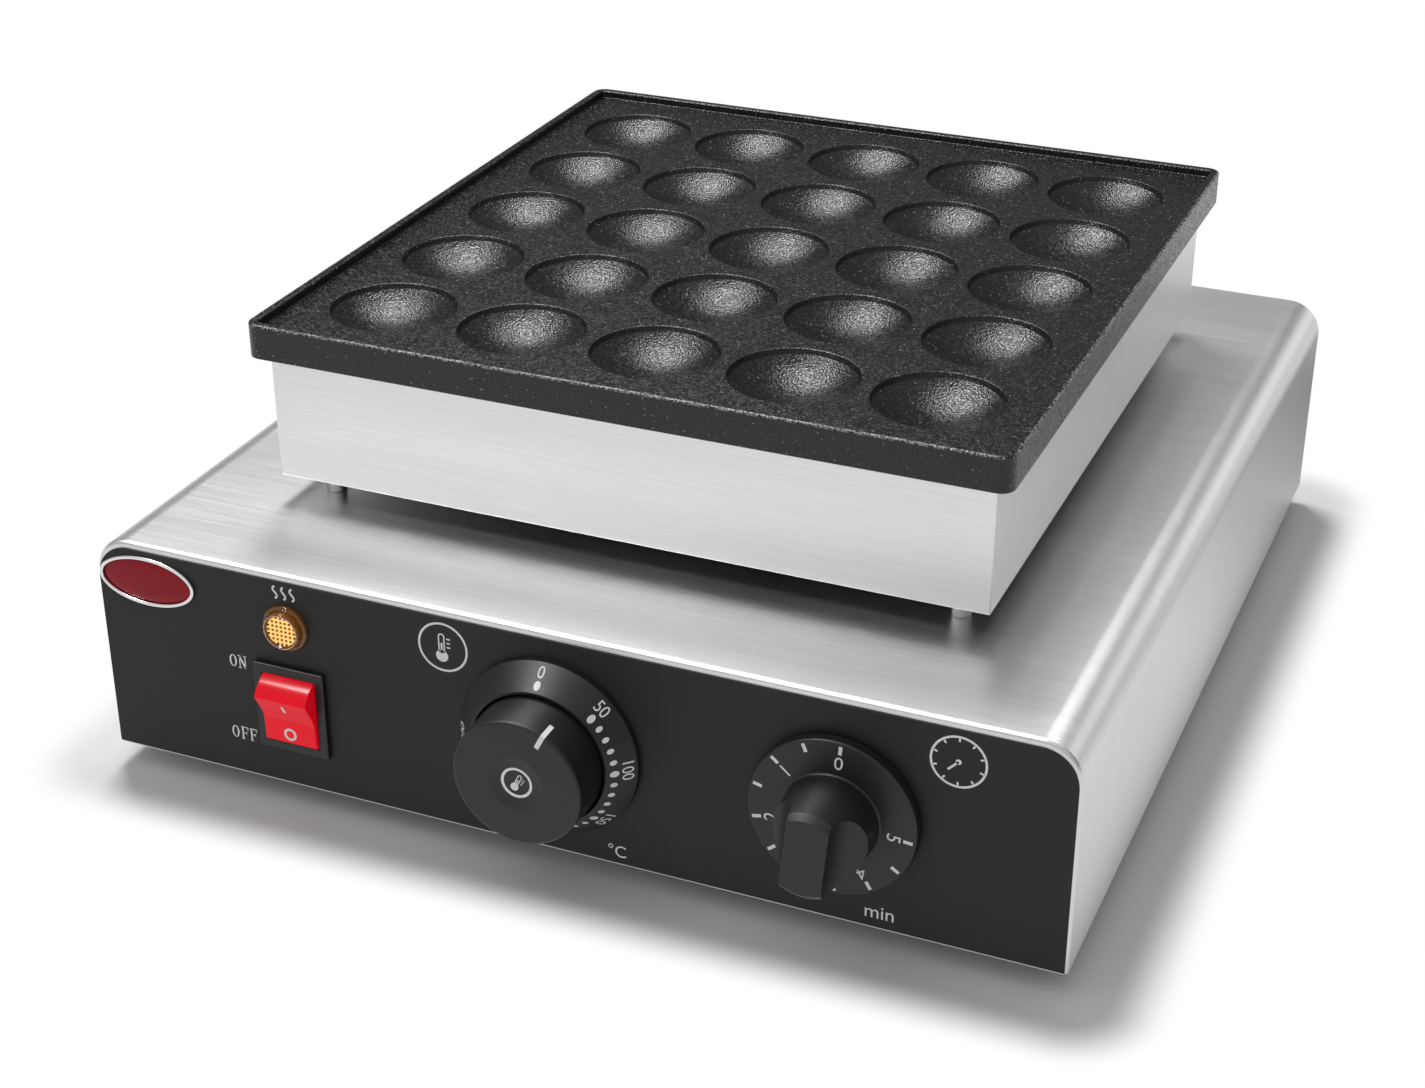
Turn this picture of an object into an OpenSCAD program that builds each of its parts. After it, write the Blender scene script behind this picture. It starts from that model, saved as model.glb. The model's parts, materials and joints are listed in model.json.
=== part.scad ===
// Mini pancake maker: a cast baking plate with round dishes on a steel heater box,
// carried by four posts on a folded steel base with a control panel on its front.
// Frame: X to the right, Y to the back, Z up. The origin is under the middle of the whole.

/* [Base] */
// Width of the base
base_w = 340; // [325:1:400]
// Depth of the base
base_d = 360; // [350:1:420]
// Height of the base without its feet
base_h = 81; // [80:1:100]
// Outer radius of the two long bends
bend_r = 13; // [11:1:18]
// Thickness of the steel sheet
sheet = 1; // [0.8:0.1:1.4]
// Width of the folded return flanges
return_w = 10; // [10:1:14]
// Width of the return flange above the front panel
front_lip = 6; // [5:0.5:7]
// Gap between sheet pieces that seat in each other
seat_gap = 0.15; // [0.1:0.05:0.3]
// Width of one vent slot in the rear panel and the bottom plate
vent_w = 4; // [3:0.5:5]
// Length of one vent slot
vent_l = 44; // [30:1:50]
// Vent slots in one group
vent_count = 6; // [3:1:8]

/* [Feet] */
// Height of the base above the table
foot_rise = 8; // [7:0.5:15]
// Diameter of a rubber foot
foot_d = 26; // [22:1:32]
// Distance from the base's edges to a foot's centre
foot_inset = 38; // [32:1:55]

/* [Heater box] */
// Width of the heater box
box_w = 252; // [250:1:280]
// Depth of the heater box
box_d = 264; // [263:1:290]
// Height of the heater box
box_h = 45; // [44:1:60]
// Air gap between base and heater box
box_gap = 9; // [8:0.5:20]
// Width of the folded lip that carries the plate
box_lip = 4; // [3:0.5:5]
// Thickness of the insulation in the heater box
pad_t = 8; // [6:0.5:10]
// Thickness of the heat reflector
reflector_t = 0.6; // [0.5:0.1:1]

/* [Baking plate] */
// How far the plate stands out over the heater box
plate_overhang = 6; // [4:0.5:9]
// Height of the plate's outer side
plate_h = 12; // [12:0.5:16]
// Radius of the plate's upright corners
plate_corner_r = 5; // [3:0.5:8]
// Height of the rim above the field
rim_h = 3; // [2:0.5:4]
// Width of the rim
rim_w = 3.4; // [2.5:0.1:5]
// Dishes along each side of the plate
dish_rows = 5; // [5:1:5]
// Distance between dish centres, side to side
dish_pitch = 48.3; // [47:0.1:49]
// Distance between dish rows, front to back
row_pitch = 50; // [48:0.1:50.5]
// Diameter of a dish
dish_d = 43.2; // [40:0.2:44]
// Depth of a dish below the field
dish_depth = 8; // [7:0.5:9]
// Height of the steep wall below a dish's edge
dish_wall = 1.8; // [1:0.1:2.5]
// Width of that steep wall seen from above
dish_step = 0.8; // [0.5:0.1:1.2]
// Thickness of the heel under the plate, which sits inside the heater box
heel_h = 6; // [5:0.5:8]

/* [Posts and tie rods] */
// Diameter of a post
post_d = 7; // [6.5:0.1:9]
// Distance from the heater box's sides to a post's centre
post_inset = 13.3; // [13:0.1:15]
// Diameter of a tie rod
rod_d = 4.8; // [4:0.1:5]
// Clearance around tie rods and screws
screw_gap = 0.2; // [0.1:0.05:0.3]

/* [Heating] */
// Diameter of a heating tube
tube_d = 8; // [6.5:0.1:8.5]
// Length of a heating tube's straight legs
tube_leg = 175; // [150:1:180]
// Radius where a heating tube's end turns down
tube_bend = 12; // [10:0.5:12]
// Diameter of the bore for leads between base and heater box
conduit_d = 18; // [16:0.5:20]
// Diameter of the sensing bulb
bulb_d = 6; // [4:0.1:7]
// Length of the sensing bulb
bulb_l = 50; // [40:1:54]

/* [Panel] */
// Thickness of the black fascia
fascia_t = 0.6; // [0.4:0.1:1]
// Bright band above the fascia
fascia_top = 2.6; // [2:0.1:4]
// Bright line beside and below the fascia
fascia_edge = 0.8; // [0.4:0.1:0.9]
// Switch and lamp, from the middle of the panel
switch_x = -97; // [-105:0.5:-92]
// Distance from the base's top down to the lamp's centre
lamp_drop = 19.1; // [18:0.1:20]
// Distance from the lamp's centre down to the switch's
switch_drop = 31.1; // [30:0.1:33]
// Temperature control, from the middle of the panel
temp_x = -1.5; // [-5:0.5:2]
// Height of the temperature control's centre above the middle of the panel
temp_rise = 0; // [-2:0.1:2]
// Timer, from the middle of the panel
timer_x = 95; // [90:0.5:105]
// Height of the timer's centre above the middle of the panel
timer_rise = 0; // [-2:0.1:3]

/* [Switch] */
// Width of the switch's flange
switch_w = 26.5; // [25.5:0.1:28]
// Height of the switch's flange
switch_h = 32.5; // [32:0.1:34]
// Thickness of the switch's flange
switch_flange = 2; // [1.5:0.1:3]
// Width of the switch's body in the panel
switch_body_w = 21.8; // [21.6:0.1:22.4]
// Depth of the switch's body
switch_depth = 24; // [23:0.5:30]
// Radius of the rocker's round ends about its pivot
rocker_r = 14; // [13.5:0.1:14.2]
// Width of the rocker
rocker_w = 19.6; // [18:0.1:19.8]
// Depth of the pivot behind the fascia
pivot_depth = 4; // [3.5:0.1:5]
// Tilt of the rocker at rest, in degrees, top out
rocker_tilt = 15; // [10:0.5:17]
// Diameter of the rocker's pivot pins
pivot_d = 3; // [2.5:0.1:3.5]
// Radial clearance of pins and shafts that turn
run_gap = 0.05; // [0.03:0.01:0.09]

/* [Lamp] */
// Diameter of the lens
lens_d = 16.4; // [15:0.1:18]
// Height of the lens in front of the fascia
lens_h = 4; // [3:0.1:6]
// Diameter of the lamp's body in the panel
lamp_body_d = 12.6; // [11:0.1:13]

/* [Temperature control] */
// Diameter of the scale ring at the panel
ring_d = 62.8; // [60:0.2:66]
// Diameter of the scale ring at its front
ring_front_d = 48.4; // [48:0.2:52]
// Diameter of the hole in the scale ring
ring_hole_d = 46.4; // [46.2:0.1:47]
// Height of the scale ring
ring_t = 10; // [8:0.5:12]
// Height of the upright edge below the ring's cone
ring_edge = 2.2; // [1.5:0.1:3]
// Diameter of the knob at its front
knob_d = 44.2; // [43:0.1:44.4]
// How far the knob stands out of the panel
knob_h = 25; // [22:0.5:26]
// Taper of the knob, added to its diameter at the root
knob_taper = 1; // [0:0.1:1.2]
// Diameter of the recess in the knob's face
knob_dimple_d = 19; // [16:0.1:20]
// Angle of the pointer at rest, in degrees clockwise
pointer_angle = 27; // [0:1:60]
// Diameter of the control shafts
shaft_d = 6; // [5.5:0.1:6.2]
// Depth of the flat on a control shaft
shaft_flat = 1; // [0.5:0.1:1.5]

/* [Timer] */
// Diameter of the dial
dial_d = 55; // [52:0.5:58]
// Thickness of the dial
dial_t = 3.8; // [3.6:0.1:5]
// How far the grip stands out of the panel
grip_h = 28; // [26:0.5:30]
// Diameter of the grip at its root
grip_root_d = 31; // [30:0.5:36]
// Diameter of the grip at its front
grip_front_d = 30; // [27:0.5:30]
// Width of the grip bar at its front
grip_w = 13.5; // [11:0.5:15]
// Radius of the two finger scoops
scoop_r = 16; // [14:0.5:18]
// Angle of the dial at rest, in degrees clockwise
dial_angle = 5.5; // [0:0.5:10]

/* [Badge] */
// Width of the badge
badge_w = 37; // [30:0.5:38]
// Height of the badge
badge_h = 18.2; // [15:0.1:19]
// Distance from the base's top down to the badge's centre
badge_drop = 13; // [12.5:0.1:17]
// Distance from the base's side to the badge
badge_inset = 1.6; // [1.4:0.1:8]

/* [Cord inlet] */
// Bore of the cord gland
gland_bore = 8; // [6:0.1:9]
// Thread diameter of the cord gland
gland_d = 15.2; // [14:0.1:16]
// How far the cord gland stands out of the rear panel
gland_reach = 14; // [10:0.5:18]
// Distance from the base's side to the cord gland
gland_side = 80; // [75:1:100]

/* [Hidden] */
$fn = 64;

// Overall frame
knob_reach = grip_h;
overall_d = knob_reach + fascia_t + base_d + gland_reach;
front_y = -overall_d / 2 + knob_reach + fascia_t;
face_y = front_y - fascia_t;
rear_y = front_y + base_d;
mid_y = front_y + base_d / 2;
z_base = foot_rise;
z_floor = z_base + 2 * sheet;
z_top = z_base + base_h;
z_box = z_top + box_gap;
z_seat = z_box + box_h;
z_field = z_seat + plate_h - rim_h;
panel_back = fascia_t + sheet;

// Heights on the panel, from the base's lower edge
lamp_z = base_h - lamp_drop;
switch_z = lamp_z - switch_drop;
temp_z = base_h / 2 + temp_rise;
timer_z = base_h / 2 + timer_rise;
badge_z = base_h - badge_drop;
gland_x = base_w / 2 - gland_side;

// How far a cut runs past a face, and a boss into the body that it grows from
over = 1;
root = 0.5;
through = 8 * sheet;

// Sheet screws
screw_d = 4;
screw_bite = 5;
thread_tail = 2;
screw_head_d = 7.6;
screw_head_h = 2.2;
hole_d = screw_d + 2 * screw_gap;
flange_x = base_w / 2 - sheet - return_w / 2;
bottom_screw_step = 120;
rear_low = 16;
rear_high = 52;
rear_top_x = 90;
lip_corner_r = 6;
rear_places = [
    for (s = [-1, 1]) each [
        [s * flange_x, rear_low],
        [s * flange_x, rear_high],
        [s * rear_top_x, base_h - sheet - return_w / 2]
    ]
];
rear_vent_x = -40;
vent_pitch = 88;
floor_vent_rows = [-88, 70];
bottom_places = [for (s = [-1, 1], k = [-1, 0, 1]) [s * flange_x, mid_y + k * bottom_screw_step]];

// Feet
foot_x = base_w / 2 - foot_inset;
foot_y = base_d / 2 - foot_inset;
foot_places = [for (i = [-1, 1], j = [-1, 1]) [i * foot_x, mid_y + j * foot_y]];
foot_seat = 4.5;
foot_bore = 12;
foot_taper = 3;
foot_nut_h = 3.2;
foot_nut_d = 8;

// Posts, rods, nuts and washers
post_x = box_w / 2 - post_inset;
post_y = box_d / 2 - post_inset;
post_places = [for (i = [-1, 1], j = [-1, 1]) [i * post_x, mid_y + j * post_y]];
washer_d = 13;
washer_t = 1;
rod_nut_h = 4;
rod_nut_d = 9.2;
rod_grip = 3.5;
rod_hole = rod_d + 2 * screw_gap;

// Plate
plate_w = box_w + 2 * plate_overhang;
plate_d = box_d + 2 * plate_overhang;
heel_gap = 2;
heel_w = box_w - 2 * (sheet + box_lip + heel_gap);
heel_d = box_d - 2 * (sheet + box_lip + heel_gap);
dish_r = dish_d / 2;
bowl_r = dish_r - dish_step;
bowl_depth = dish_depth - dish_wall;
bowl_sphere = (bowl_r * bowl_r + bowl_depth * bowl_depth) / (2 * bowl_depth);
dish_half = (dish_rows - 1) / 2;
dish_places = [for (i = [0:dish_rows - 1], j = [0:dish_rows - 1])
    [(i - dish_half) * dish_pitch, mid_y + (j - dish_half) * row_pitch]];

// Heating parts under the plate
touch = 0.05;
z_heel = z_seat - heel_h;
z_tube = z_heel - tube_d / 2 - touch;
tube_x = tube_leg / 2;
tube_rows = [row_pitch, 2 * row_pitch];
z_reflector = z_box + sheet + pad_t;
pin_d = 3.5;
pin_lift = 5.4;
pin_l = 5;
pin_z = z_reflector + reflector_t + pin_lift;
tube_end_z = pin_z + pin_l;
pin_x = tube_x + tube_bend;
link_t = 1.5;
link_w = 7;
pad_edge = 11;
pad_w = 2 * (tube_x + pad_edge);
pad_d = 2 * (tube_rows[1] + pad_edge);
clamp_y = (tube_rows[0] + tube_rows[1]) / 2;
clamp_x = clamp_y * dish_pitch / row_pitch;
clamp_w = 16;
clamp_t = 3;
clamp_edge = 13;
clamp_l = 2 * (tube_rows[1] + clamp_edge);
z_clamp = z_tube - tube_d / 2 - touch;
bolt_d = 4.8;
bolt_head_d = 8;
bolt_head_h = 3;
bolt_grip = 5;
bolt_hole = bolt_d + 2 * screw_gap;
z_bulb = z_heel - bulb_d / 2 - touch;
clip_x = dish_pitch / 2;
clip_y = row_pitch / 2;
clip_w = 10;
clip_t = 2;
clip_edge = 8;

// Conduit for the leads
conduit_wall = 2;
conduit_out_d = conduit_d + 2 * conduit_wall;
collar_edge = 3;
collar_d = conduit_out_d + 2 * collar_edge;
conduit_tail = 6;
conduit_rise = 0.5;
conduit_hole = conduit_out_d + 2 * seat_gap;

// Capillary between thermostat and bulb
capillary_d = 2;
capillary_bend = 8;

// Controls behind the panel
cut_gap = 0.2;
press_gap = 0.02;
bush_d = 10;
bush_out = 2.4;
bush_hole = bush_d + 2 * cut_gap;
fix_step = 14;
fix_head_d = 6.8;
fix_head_h = 2;
fix_l = 4;
bracket_t = 1.5;
thermo_w = 38;
thermo_h = 36;
thermo_depth = 28;
timer_w = 46;
timer_h = 44;
timer_depth = 34;
bracket_edge = 3;
shaft_in = 12;
thermo_back = panel_back + bracket_t + thermo_depth;
timer_back = panel_back + bracket_t + timer_depth;
spade_w = 6.3;
spade_t = 0.8;
spade_l = 9;
spade_step = 14;
switch_end = 0.9;
switch_body_h = 2 * (rocker_r + switch_end);
cavity_gap = 0.35;
pin_stub = 1;
rocker_crest = 10.2;
rocker_dip = 2.4;
rocker_back = 3;
lens_flange = 1.5;
lens_lip = 1;
lens_draft = 1;
lens_face_d = lens_d - 2 * lens_lip;
lamp_depth = 28;
lamp_pin_d = 1.6;
lamp_nut_d = 19;
lamp_nut_h = 3;

// Knobs
knob_gap = 1;
knob_wall = 2.4;
knob_front = 4.5;
knob_edge = 0.9;
knob_dimple = 1.2;
knob_hub_d = 11;
hub_start = 3.4;
shaft_stop = 0.5;
pointer_w = 1.5;
pointer_from = 16.8;
pointer_t = 0.3;
dial_gap = 0.8;
dial_edge = 0.8;
dial_hollow_d = 46;
dial_hollow = 2.2;
grip_bore = 16;

// Badge
badge_t = 1.2;
badge_rim = 1.3;
badge_inlay_t = 0.9;
badge_x = -base_w / 2 + badge_inset + badge_w / 2;

// Terminal block and earth stud on the bottom plate
block_w = 56;
block_d = 18;
block_h = 16;
block_inset = 78;
block_y = rear_y - block_inset;
block_step = 13;
block_bore = 4.4;
block_screw_d = 3.2;
block_head_d = 5.6;
block_screw_x = 24;
clamp_screw_d = 3.4;
clamp_screw_sink = 1;
earth_side = 38;
earth_x = base_w / 2 - earth_side;
earth_inset = 60;
earth_y = rear_y - earth_inset;
earth_d = 4.8;
earth_l = 14;
gland_z = 30;
gland_flange_d = 21;
gland_flange_t = 4;
gland_dome_d = 18;
gland_lip = 2;
gland_tail = 10;
gland_nut_h = 4;
gland_nut_d = 22;

// Helpers

// A flat shape in X and Z, from y towards the back
module slice_y(y, depth) {
    translate([0, y + depth, z_base]) rotate([90, 0, 0]) linear_extrude(depth) children();
}

// The base's end view: a box with two rounded upper corners
module end_view(w, h, r) {
    translate([-w / 2, 0]) square([w, h - r]);
    translate([-w / 2 + r, 0]) square([w - 2 * r, h]);
    for (s = [-1, 1]) translate([s * (w / 2 - r), h - r]) circle(r);
}

// A place on the panel: X right, Y up, Z out of the fascia
module on_panel(x, z) {
    translate([x, face_y, z_base + z]) rotate([90, 0, 0]) children();
}

// A place on the rear panel: Z out of the panel
module on_rear(x, z) {
    translate([x, rear_y, z_base + z]) rotate([-90, 0, 0]) children();
}

// Round bar along Z between two heights
module bar(d, from, to) {
    translate([0, 0, from]) cylinder(d = d, h = to - from);
}

// Screw with its head above Z = 0 and a cross recess
module pan_screw(d, l, head_d, head_h) {
    recess_w = head_d / 7;
    recess_l = head_d * 0.6;
    difference() {
        union() {
            bar(head_d, 0, head_h);
            bar(d, -l, head_h / 2);
        }
        for (a = [0, 90]) rotate(a)
            translate([-recess_l / 2, -recess_w / 2, head_h / 2]) cube([recess_l, recess_w, head_h]);
    }
}

// Hexagon nut above Z = 0
module hex_nut(d, h, bore) {
    difference() {
        cylinder(d = d, h = h, $fn = 6);
        translate([0, 0, -over]) cylinder(d = bore, h = h + 2 * over);
    }
}

// Quarter turn of a tube in the XY plane, from the X axis to the Y axis
module elbow(r, d) {
    rotate_extrude(angle = 90) translate([r, 0]) circle(d = d);
}

// Upright slab with rounded corners
module slab(w, d, h, r) {
    linear_extrude(h) {
        square([w - 2 * r, d], center = true);
        square([w, d - 2 * r], center = true);
        for (i = [-1, 1], j = [-1, 1]) translate([i * (w / 2 - r), j * (d / 2 - r)]) circle(r);
    }
}

// Row of long vent holes along X, cut along Z
module vents(depth) {
    step = 2 * vent_w;
    for (k = [0:vent_count - 1]) translate([0, (k - (vent_count - 1) / 2) * step, -depth / 2]) {
        translate([-vent_l / 2, -vent_w / 2, 0]) cube([vent_l, vent_w, depth]);
        for (s = [-1, 1]) translate([s * vent_l / 2, 0, 0]) cylinder(d = vent_w, h = depth);
    }
}

// Control shaft along Z with a flat from flat_from upwards
module flat_shaft(d, from, to, flat_from) {
    difference() {
        bar(d, from, to);
        translate([-d, d / 2 - shaft_flat, flat_from]) cube([2 * d, d, to - flat_from + over]);
    }
}

// Soft wire along points, as one tube of straight-sided rings
function unit(v) = v / norm(v);
function curve_at(p, i, t) = let(
    a = p[max(i - 1, 0)], b = p[i], c = p[i + 1], d = p[min(i + 2, len(p) - 1)])
    0.5 * (2 * b + (c - a) * t + (2 * a - 5 * b + 4 * c - d) * t * t + (3 * b - a - 3 * c + d) * t * t * t);
function curve(p, steps) = concat(
    [for (i = [0:len(p) - 2], s = [0:steps - 1]) curve_at(p, i, s / steps)], [p[len(p) - 1]]);
function heading(c, i) = unit(c[min(i + 1, len(c) - 1)] - c[max(i - 1, 0)]);
function square_to(n, t) = unit(n - t * (n * t));
function normals(c, n, i = 0) = i == len(c) ? [] :
    let(m = square_to(n, heading(c, i))) concat([m], normals(c, m, i + 1));

wire_d = 2.6;
wire_sides = 8;
wire_steps = 3;
wire_start = [0.36, 0.48, 0.8];
module wire(points) {
    c = curve(points, wire_steps);
    n = normals(c, wire_start);
    rings = [for (i = [0:len(c) - 1], k = [0:wire_sides - 1]) let(
        b = cross(heading(c, i), n[i]), a = 360 * k / wire_sides)
        c[i] + wire_d / 2 * (n[i] * cos(a) + b * sin(a))];
    last = (len(c) - 1) * wire_sides;
    sides = [for (i = [0:len(c) - 2], k = [0:wire_sides - 1]) let(
        a = i * wire_sides + k, b = i * wire_sides + (k + 1) % wire_sides)
        each [[a, a + wire_sides, b], [b, a + wire_sides, b + wire_sides]]];
    ends = [[for (k = [0:wire_sides - 1]) k], [for (k = [wire_sides - 1:-1:0]) last + k]];
    polyhedron(points = rings, faces = concat(sides, ends));
}

// Holes that the switch, lamp and shafts need in the fascia and the front panel
module panel_cuts() {
    depth = 4 * panel_back;
    on_panel(switch_x, switch_z)
        cube([switch_body_w + 2 * cut_gap, switch_body_h + 2 * cut_gap, depth], center = true);
    on_panel(switch_x, lamp_z) cylinder(d = lamp_body_d + 2 * cut_gap, h = depth, center = true);
    for (p = [[temp_x, temp_z], [timer_x, timer_z]]) on_panel(p.x, p.y) {
        cylinder(d = bush_hole, h = depth, center = true);
        for (s = [-1, 1]) translate([0, s * fix_step, 0]) cylinder(d = hole_d, h = depth, center = true);
    }
}

// Base

// Return flange inside an end of the base, with its own width along the top
module end_flange(y, top_w) {
    opening_h = base_h - sheet - top_w;
    slice_y(y, sheet) difference() {
        end_view(base_w - sheet, base_h - sheet / 2, bend_r - sheet / 2);
        translate([0, -over]) end_view(base_w - 2 * (sheet + return_w), opening_h + over, lip_corner_r);
    }
}

module base_shell() color("silver") difference() {
    union() {
        slice_y(front_y, base_d) difference() {
            end_view(base_w, base_h, bend_r);
            translate([0, -over]) end_view(base_w - 2 * sheet, base_h - sheet + over, bend_r - sheet);
        }
        end_flange(front_y + sheet, front_lip);
        end_flange(rear_y - 2 * sheet, return_w);
        for (s = [-1, 1]) translate([s * (base_w / 2 - (return_w + sheet) / 2), mid_y, z_base + sheet / 2])
            cube([return_w + sheet, base_d - 4 * sheet, sheet], center = true);
    }
    for (p = rear_places) on_rear(p.x, p.y) cylinder(d = hole_d, h = through, center = true);
    for (p = bottom_places) translate([p.x, p.y, z_base]) cylinder(d = hole_d, h = through, center = true);
    for (p = post_places) translate([p.x, p.y, z_top]) cylinder(d = rod_hole, h = through, center = true);
    translate([0, mid_y, z_top]) cylinder(d = conduit_hole, h = through, center = true);
}

// Outline of the front and rear panels, inside the base's end
module panel_outline() {
    end_view(base_w - 2 * (sheet + seat_gap), base_h - sheet - seat_gap, bend_r - sheet - seat_gap);
}

module front_panel() color("silver") difference() {
    slice_y(front_y, sheet) panel_outline();
    panel_cuts();
}

module fascia() color([0.06, 0.06, 0.06]) difference() {
    slice_y(face_y, fascia_t) translate([0, fascia_edge])
        end_view(base_w - 2 * fascia_edge, base_h - fascia_edge - fascia_top, bend_r - fascia_edge);
    panel_cuts();
}

module rear_panel() color("silver") difference() {
    slice_y(rear_y - sheet, sheet) panel_outline();
    for (p = rear_places) on_rear(p.x, p.y) cylinder(d = hole_d, h = through, center = true);
    on_rear(gland_x, gland_z) cylinder(d = gland_d + 2 * cut_gap, h = through, center = true);
    for (s = [-1, 1]) on_rear(rear_vent_x + s * vent_pitch / 2, base_h / 2) vents(through);
}

module rear_screws() color("gainsboro")
    for (p = rear_places) on_rear(p.x, p.y)
        pan_screw(screw_d, 2 * sheet + screw_bite, screw_head_d, screw_head_h);

module bottom_plate() color("silver") difference() {
    depth = base_d - 4 * sheet - 2 * seat_gap;
    width = base_w - 2 * (sheet + seat_gap);
    translate([-width / 2, mid_y - depth / 2, z_base + sheet]) cube([width, depth, sheet]);
    for (p = concat(bottom_places, foot_places)) translate([p.x, p.y, z_floor])
        cylinder(d = hole_d, h = through, center = true);
    for (s = [-1, 1], y = floor_vent_rows) translate([s * vent_pitch / 2, mid_y + y, z_floor]) vents(through);
    for (s = [-1, 1]) translate([gland_x + s * block_screw_x, block_y, z_floor])
        cylinder(d = block_screw_d + 2 * screw_gap, h = through, center = true);
    translate([earth_x, earth_y, z_floor]) cylinder(d = earth_d + 2 * screw_gap, h = through, center = true);
}

module bottom_screws() color("gainsboro")
    for (p = bottom_places) translate([p.x, p.y, z_base]) mirror([0, 0, 1])
        pan_screw(screw_d, 2 * sheet + screw_bite, screw_head_d, screw_head_h);

module rubber_feet() color([0.08, 0.08, 0.08])
    for (p = foot_places) translate([p.x, p.y, 0]) difference() {
        cylinder(d1 = foot_d - foot_taper, d2 = foot_d, h = z_base + sheet);
        translate([0, 0, -over]) cylinder(d = foot_bore, h = foot_seat + over);
        cylinder(d = hole_d, h = 4 * foot_rise);
    }

module foot_screws() color("gainsboro")
    for (p = foot_places) translate([p.x, p.y, foot_seat]) mirror([0, 0, 1])
        pan_screw(screw_d, z_floor - foot_seat + foot_nut_h + thread_tail, screw_head_d, screw_head_h);

module foot_nuts() color("gainsboro")
    for (p = foot_places) translate([p.x, p.y, z_floor]) hex_nut(foot_nut_d, foot_nut_h, hole_d);

module cord_gland() color([0.1, 0.1, 0.1]) on_rear(gland_x, gland_z) difference() {
    union() {
        bar(gland_d, -sheet - gland_tail, 0);
        cylinder(d = gland_flange_d, h = gland_flange_t, $fn = 6);
        translate([0, 0, gland_flange_t])
            cylinder(d1 = gland_dome_d, d2 = gland_bore + 2 * gland_lip, h = gland_reach - gland_flange_t);
    }
    bar(gland_bore, -sheet - gland_tail - over, gland_reach + over);
}

module gland_nut() color([0.1, 0.1, 0.1]) on_rear(gland_x, gland_z)
    translate([0, 0, -sheet - gland_nut_h]) hex_nut(gland_nut_d, gland_nut_h, gland_d + 2 * screw_gap);

// Heater box, posts and plate

module heater_box() color("silver") translate([0, mid_y, z_box]) difference() {
    inner_w = box_w - 2 * sheet;
    inner_d = box_d - 2 * sheet;
    mouth_w = inner_w - 2 * box_lip;
    mouth_d = inner_d - 2 * box_lip;
    translate([-box_w / 2, -box_d / 2, 0]) cube([box_w, box_d, box_h]);
    translate([-inner_w / 2, -inner_d / 2, sheet]) cube([inner_w, inner_d, box_h - 2 * sheet]);
    translate([-mouth_w / 2, -mouth_d / 2, sheet]) cube([mouth_w, mouth_d, box_h]);
    for (i = [-1, 1], j = [-1, 1]) translate([i * post_x, j * post_y, 0])
        cylinder(d = rod_hole, h = through, center = true);
    cylinder(d = conduit_hole, h = through, center = true);
}

module spacer_posts() color("gainsboro")
    for (p = post_places) translate([p.x, p.y, z_top]) difference() {
        cylinder(d = post_d, h = box_gap);
        translate([0, 0, -over]) cylinder(d = rod_hole, h = box_gap + 2 * over);
    }

module tie_rods() color("darkgray")
    for (p = post_places) translate([p.x, p.y, 0])
        bar(rod_d, z_top - sheet - washer_t - rod_nut_h - thread_tail, z_seat + rod_grip);

module rod_washers() color("gainsboro")
    for (p = post_places) translate([p.x, p.y, z_top - sheet - washer_t]) difference() {
        cylinder(d = washer_d, h = washer_t);
        translate([0, 0, -over]) cylinder(d = rod_hole, h = washer_t + 2 * over);
    }

module rod_nuts() color("gainsboro")
    for (p = post_places) translate([p.x, p.y, z_top - sheet - washer_t - rod_nut_h])
        hex_nut(rod_nut_d, rod_nut_h, rod_hole);

// One dish as a cutter, its edge at Z = 0
module dish_cut() {
    translate([0, 0, -dish_wall]) cylinder(r1 = bowl_r, r2 = dish_r, h = dish_wall);
    translate([0, 0, -dish_wall]) intersection() {
        translate([0, 0, bowl_sphere - bowl_depth]) sphere(r = bowl_sphere);
        translate([0, 0, -bowl_depth - over]) cylinder(r = bowl_r, h = bowl_depth + over);
    }
    cylinder(r = dish_r, h = over);
}

// A blind bore from the heel's underside up to a height
module heel_bore(x, y, d, top) {
    translate([x, y, 0]) bar(d, z_heel - over, top + root);
}

module baking_plate() color([0.13, 0.13, 0.13]) difference() {
    union() {
        translate([0, mid_y, z_seat]) slab(plate_w, plate_d, plate_h, plate_corner_r);
        translate([-heel_w / 2, mid_y - heel_d / 2, z_heel]) cube([heel_w, heel_d, heel_h + over]);
    }
    translate([0, mid_y, z_field])
        slab(plate_w - 2 * rim_w, plate_d - 2 * rim_w, rim_h + over, plate_corner_r / 2);
    for (p = dish_places) translate([p.x, p.y, z_field]) dish_cut();
    for (p = post_places) heel_bore(p.x, p.y, rod_hole, z_seat + rod_grip);
    for (i = [-1, 1], j = [-1, 1]) heel_bore(i * clamp_x, mid_y + j * clamp_y, bolt_hole, z_heel + bolt_grip);
    heel_bore(clip_x, mid_y + clip_y, bolt_hole, z_heel + bolt_grip);
}

// Heating parts

// One U-shaped heating tube; its legs lie under two rows of dishes, its ends turn down
module heating_tube() {
    row_mid = (tube_rows[0] + tube_rows[1]) / 2;
    row_gap = tube_rows[1] - tube_rows[0];
    for (y = tube_rows) {
        translate([-tube_x, y, 0]) rotate([0, 90, 0]) cylinder(d = tube_d, h = 2 * tube_x);
        translate([tube_x, y, -tube_bend]) rotate([0, -90, -90]) elbow(tube_bend, tube_d);
        translate([pin_x, y, 0]) bar(tube_d, tube_end_z - z_tube, -tube_bend);
        translate([pin_x, y, 0]) bar(pin_d, pin_z - z_tube, tube_end_z - z_tube);
    }
    translate([-tube_x, row_mid, 0]) rotate([0, 0, 90])
        rotate_extrude(angle = 180) translate([row_gap / 2, 0]) circle(d = tube_d);
}

module heating_tubes() color("dimgray") translate([0, mid_y, z_tube]) {
    heating_tube();
    mirror([0, 1, 0]) heating_tube();
}

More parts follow.
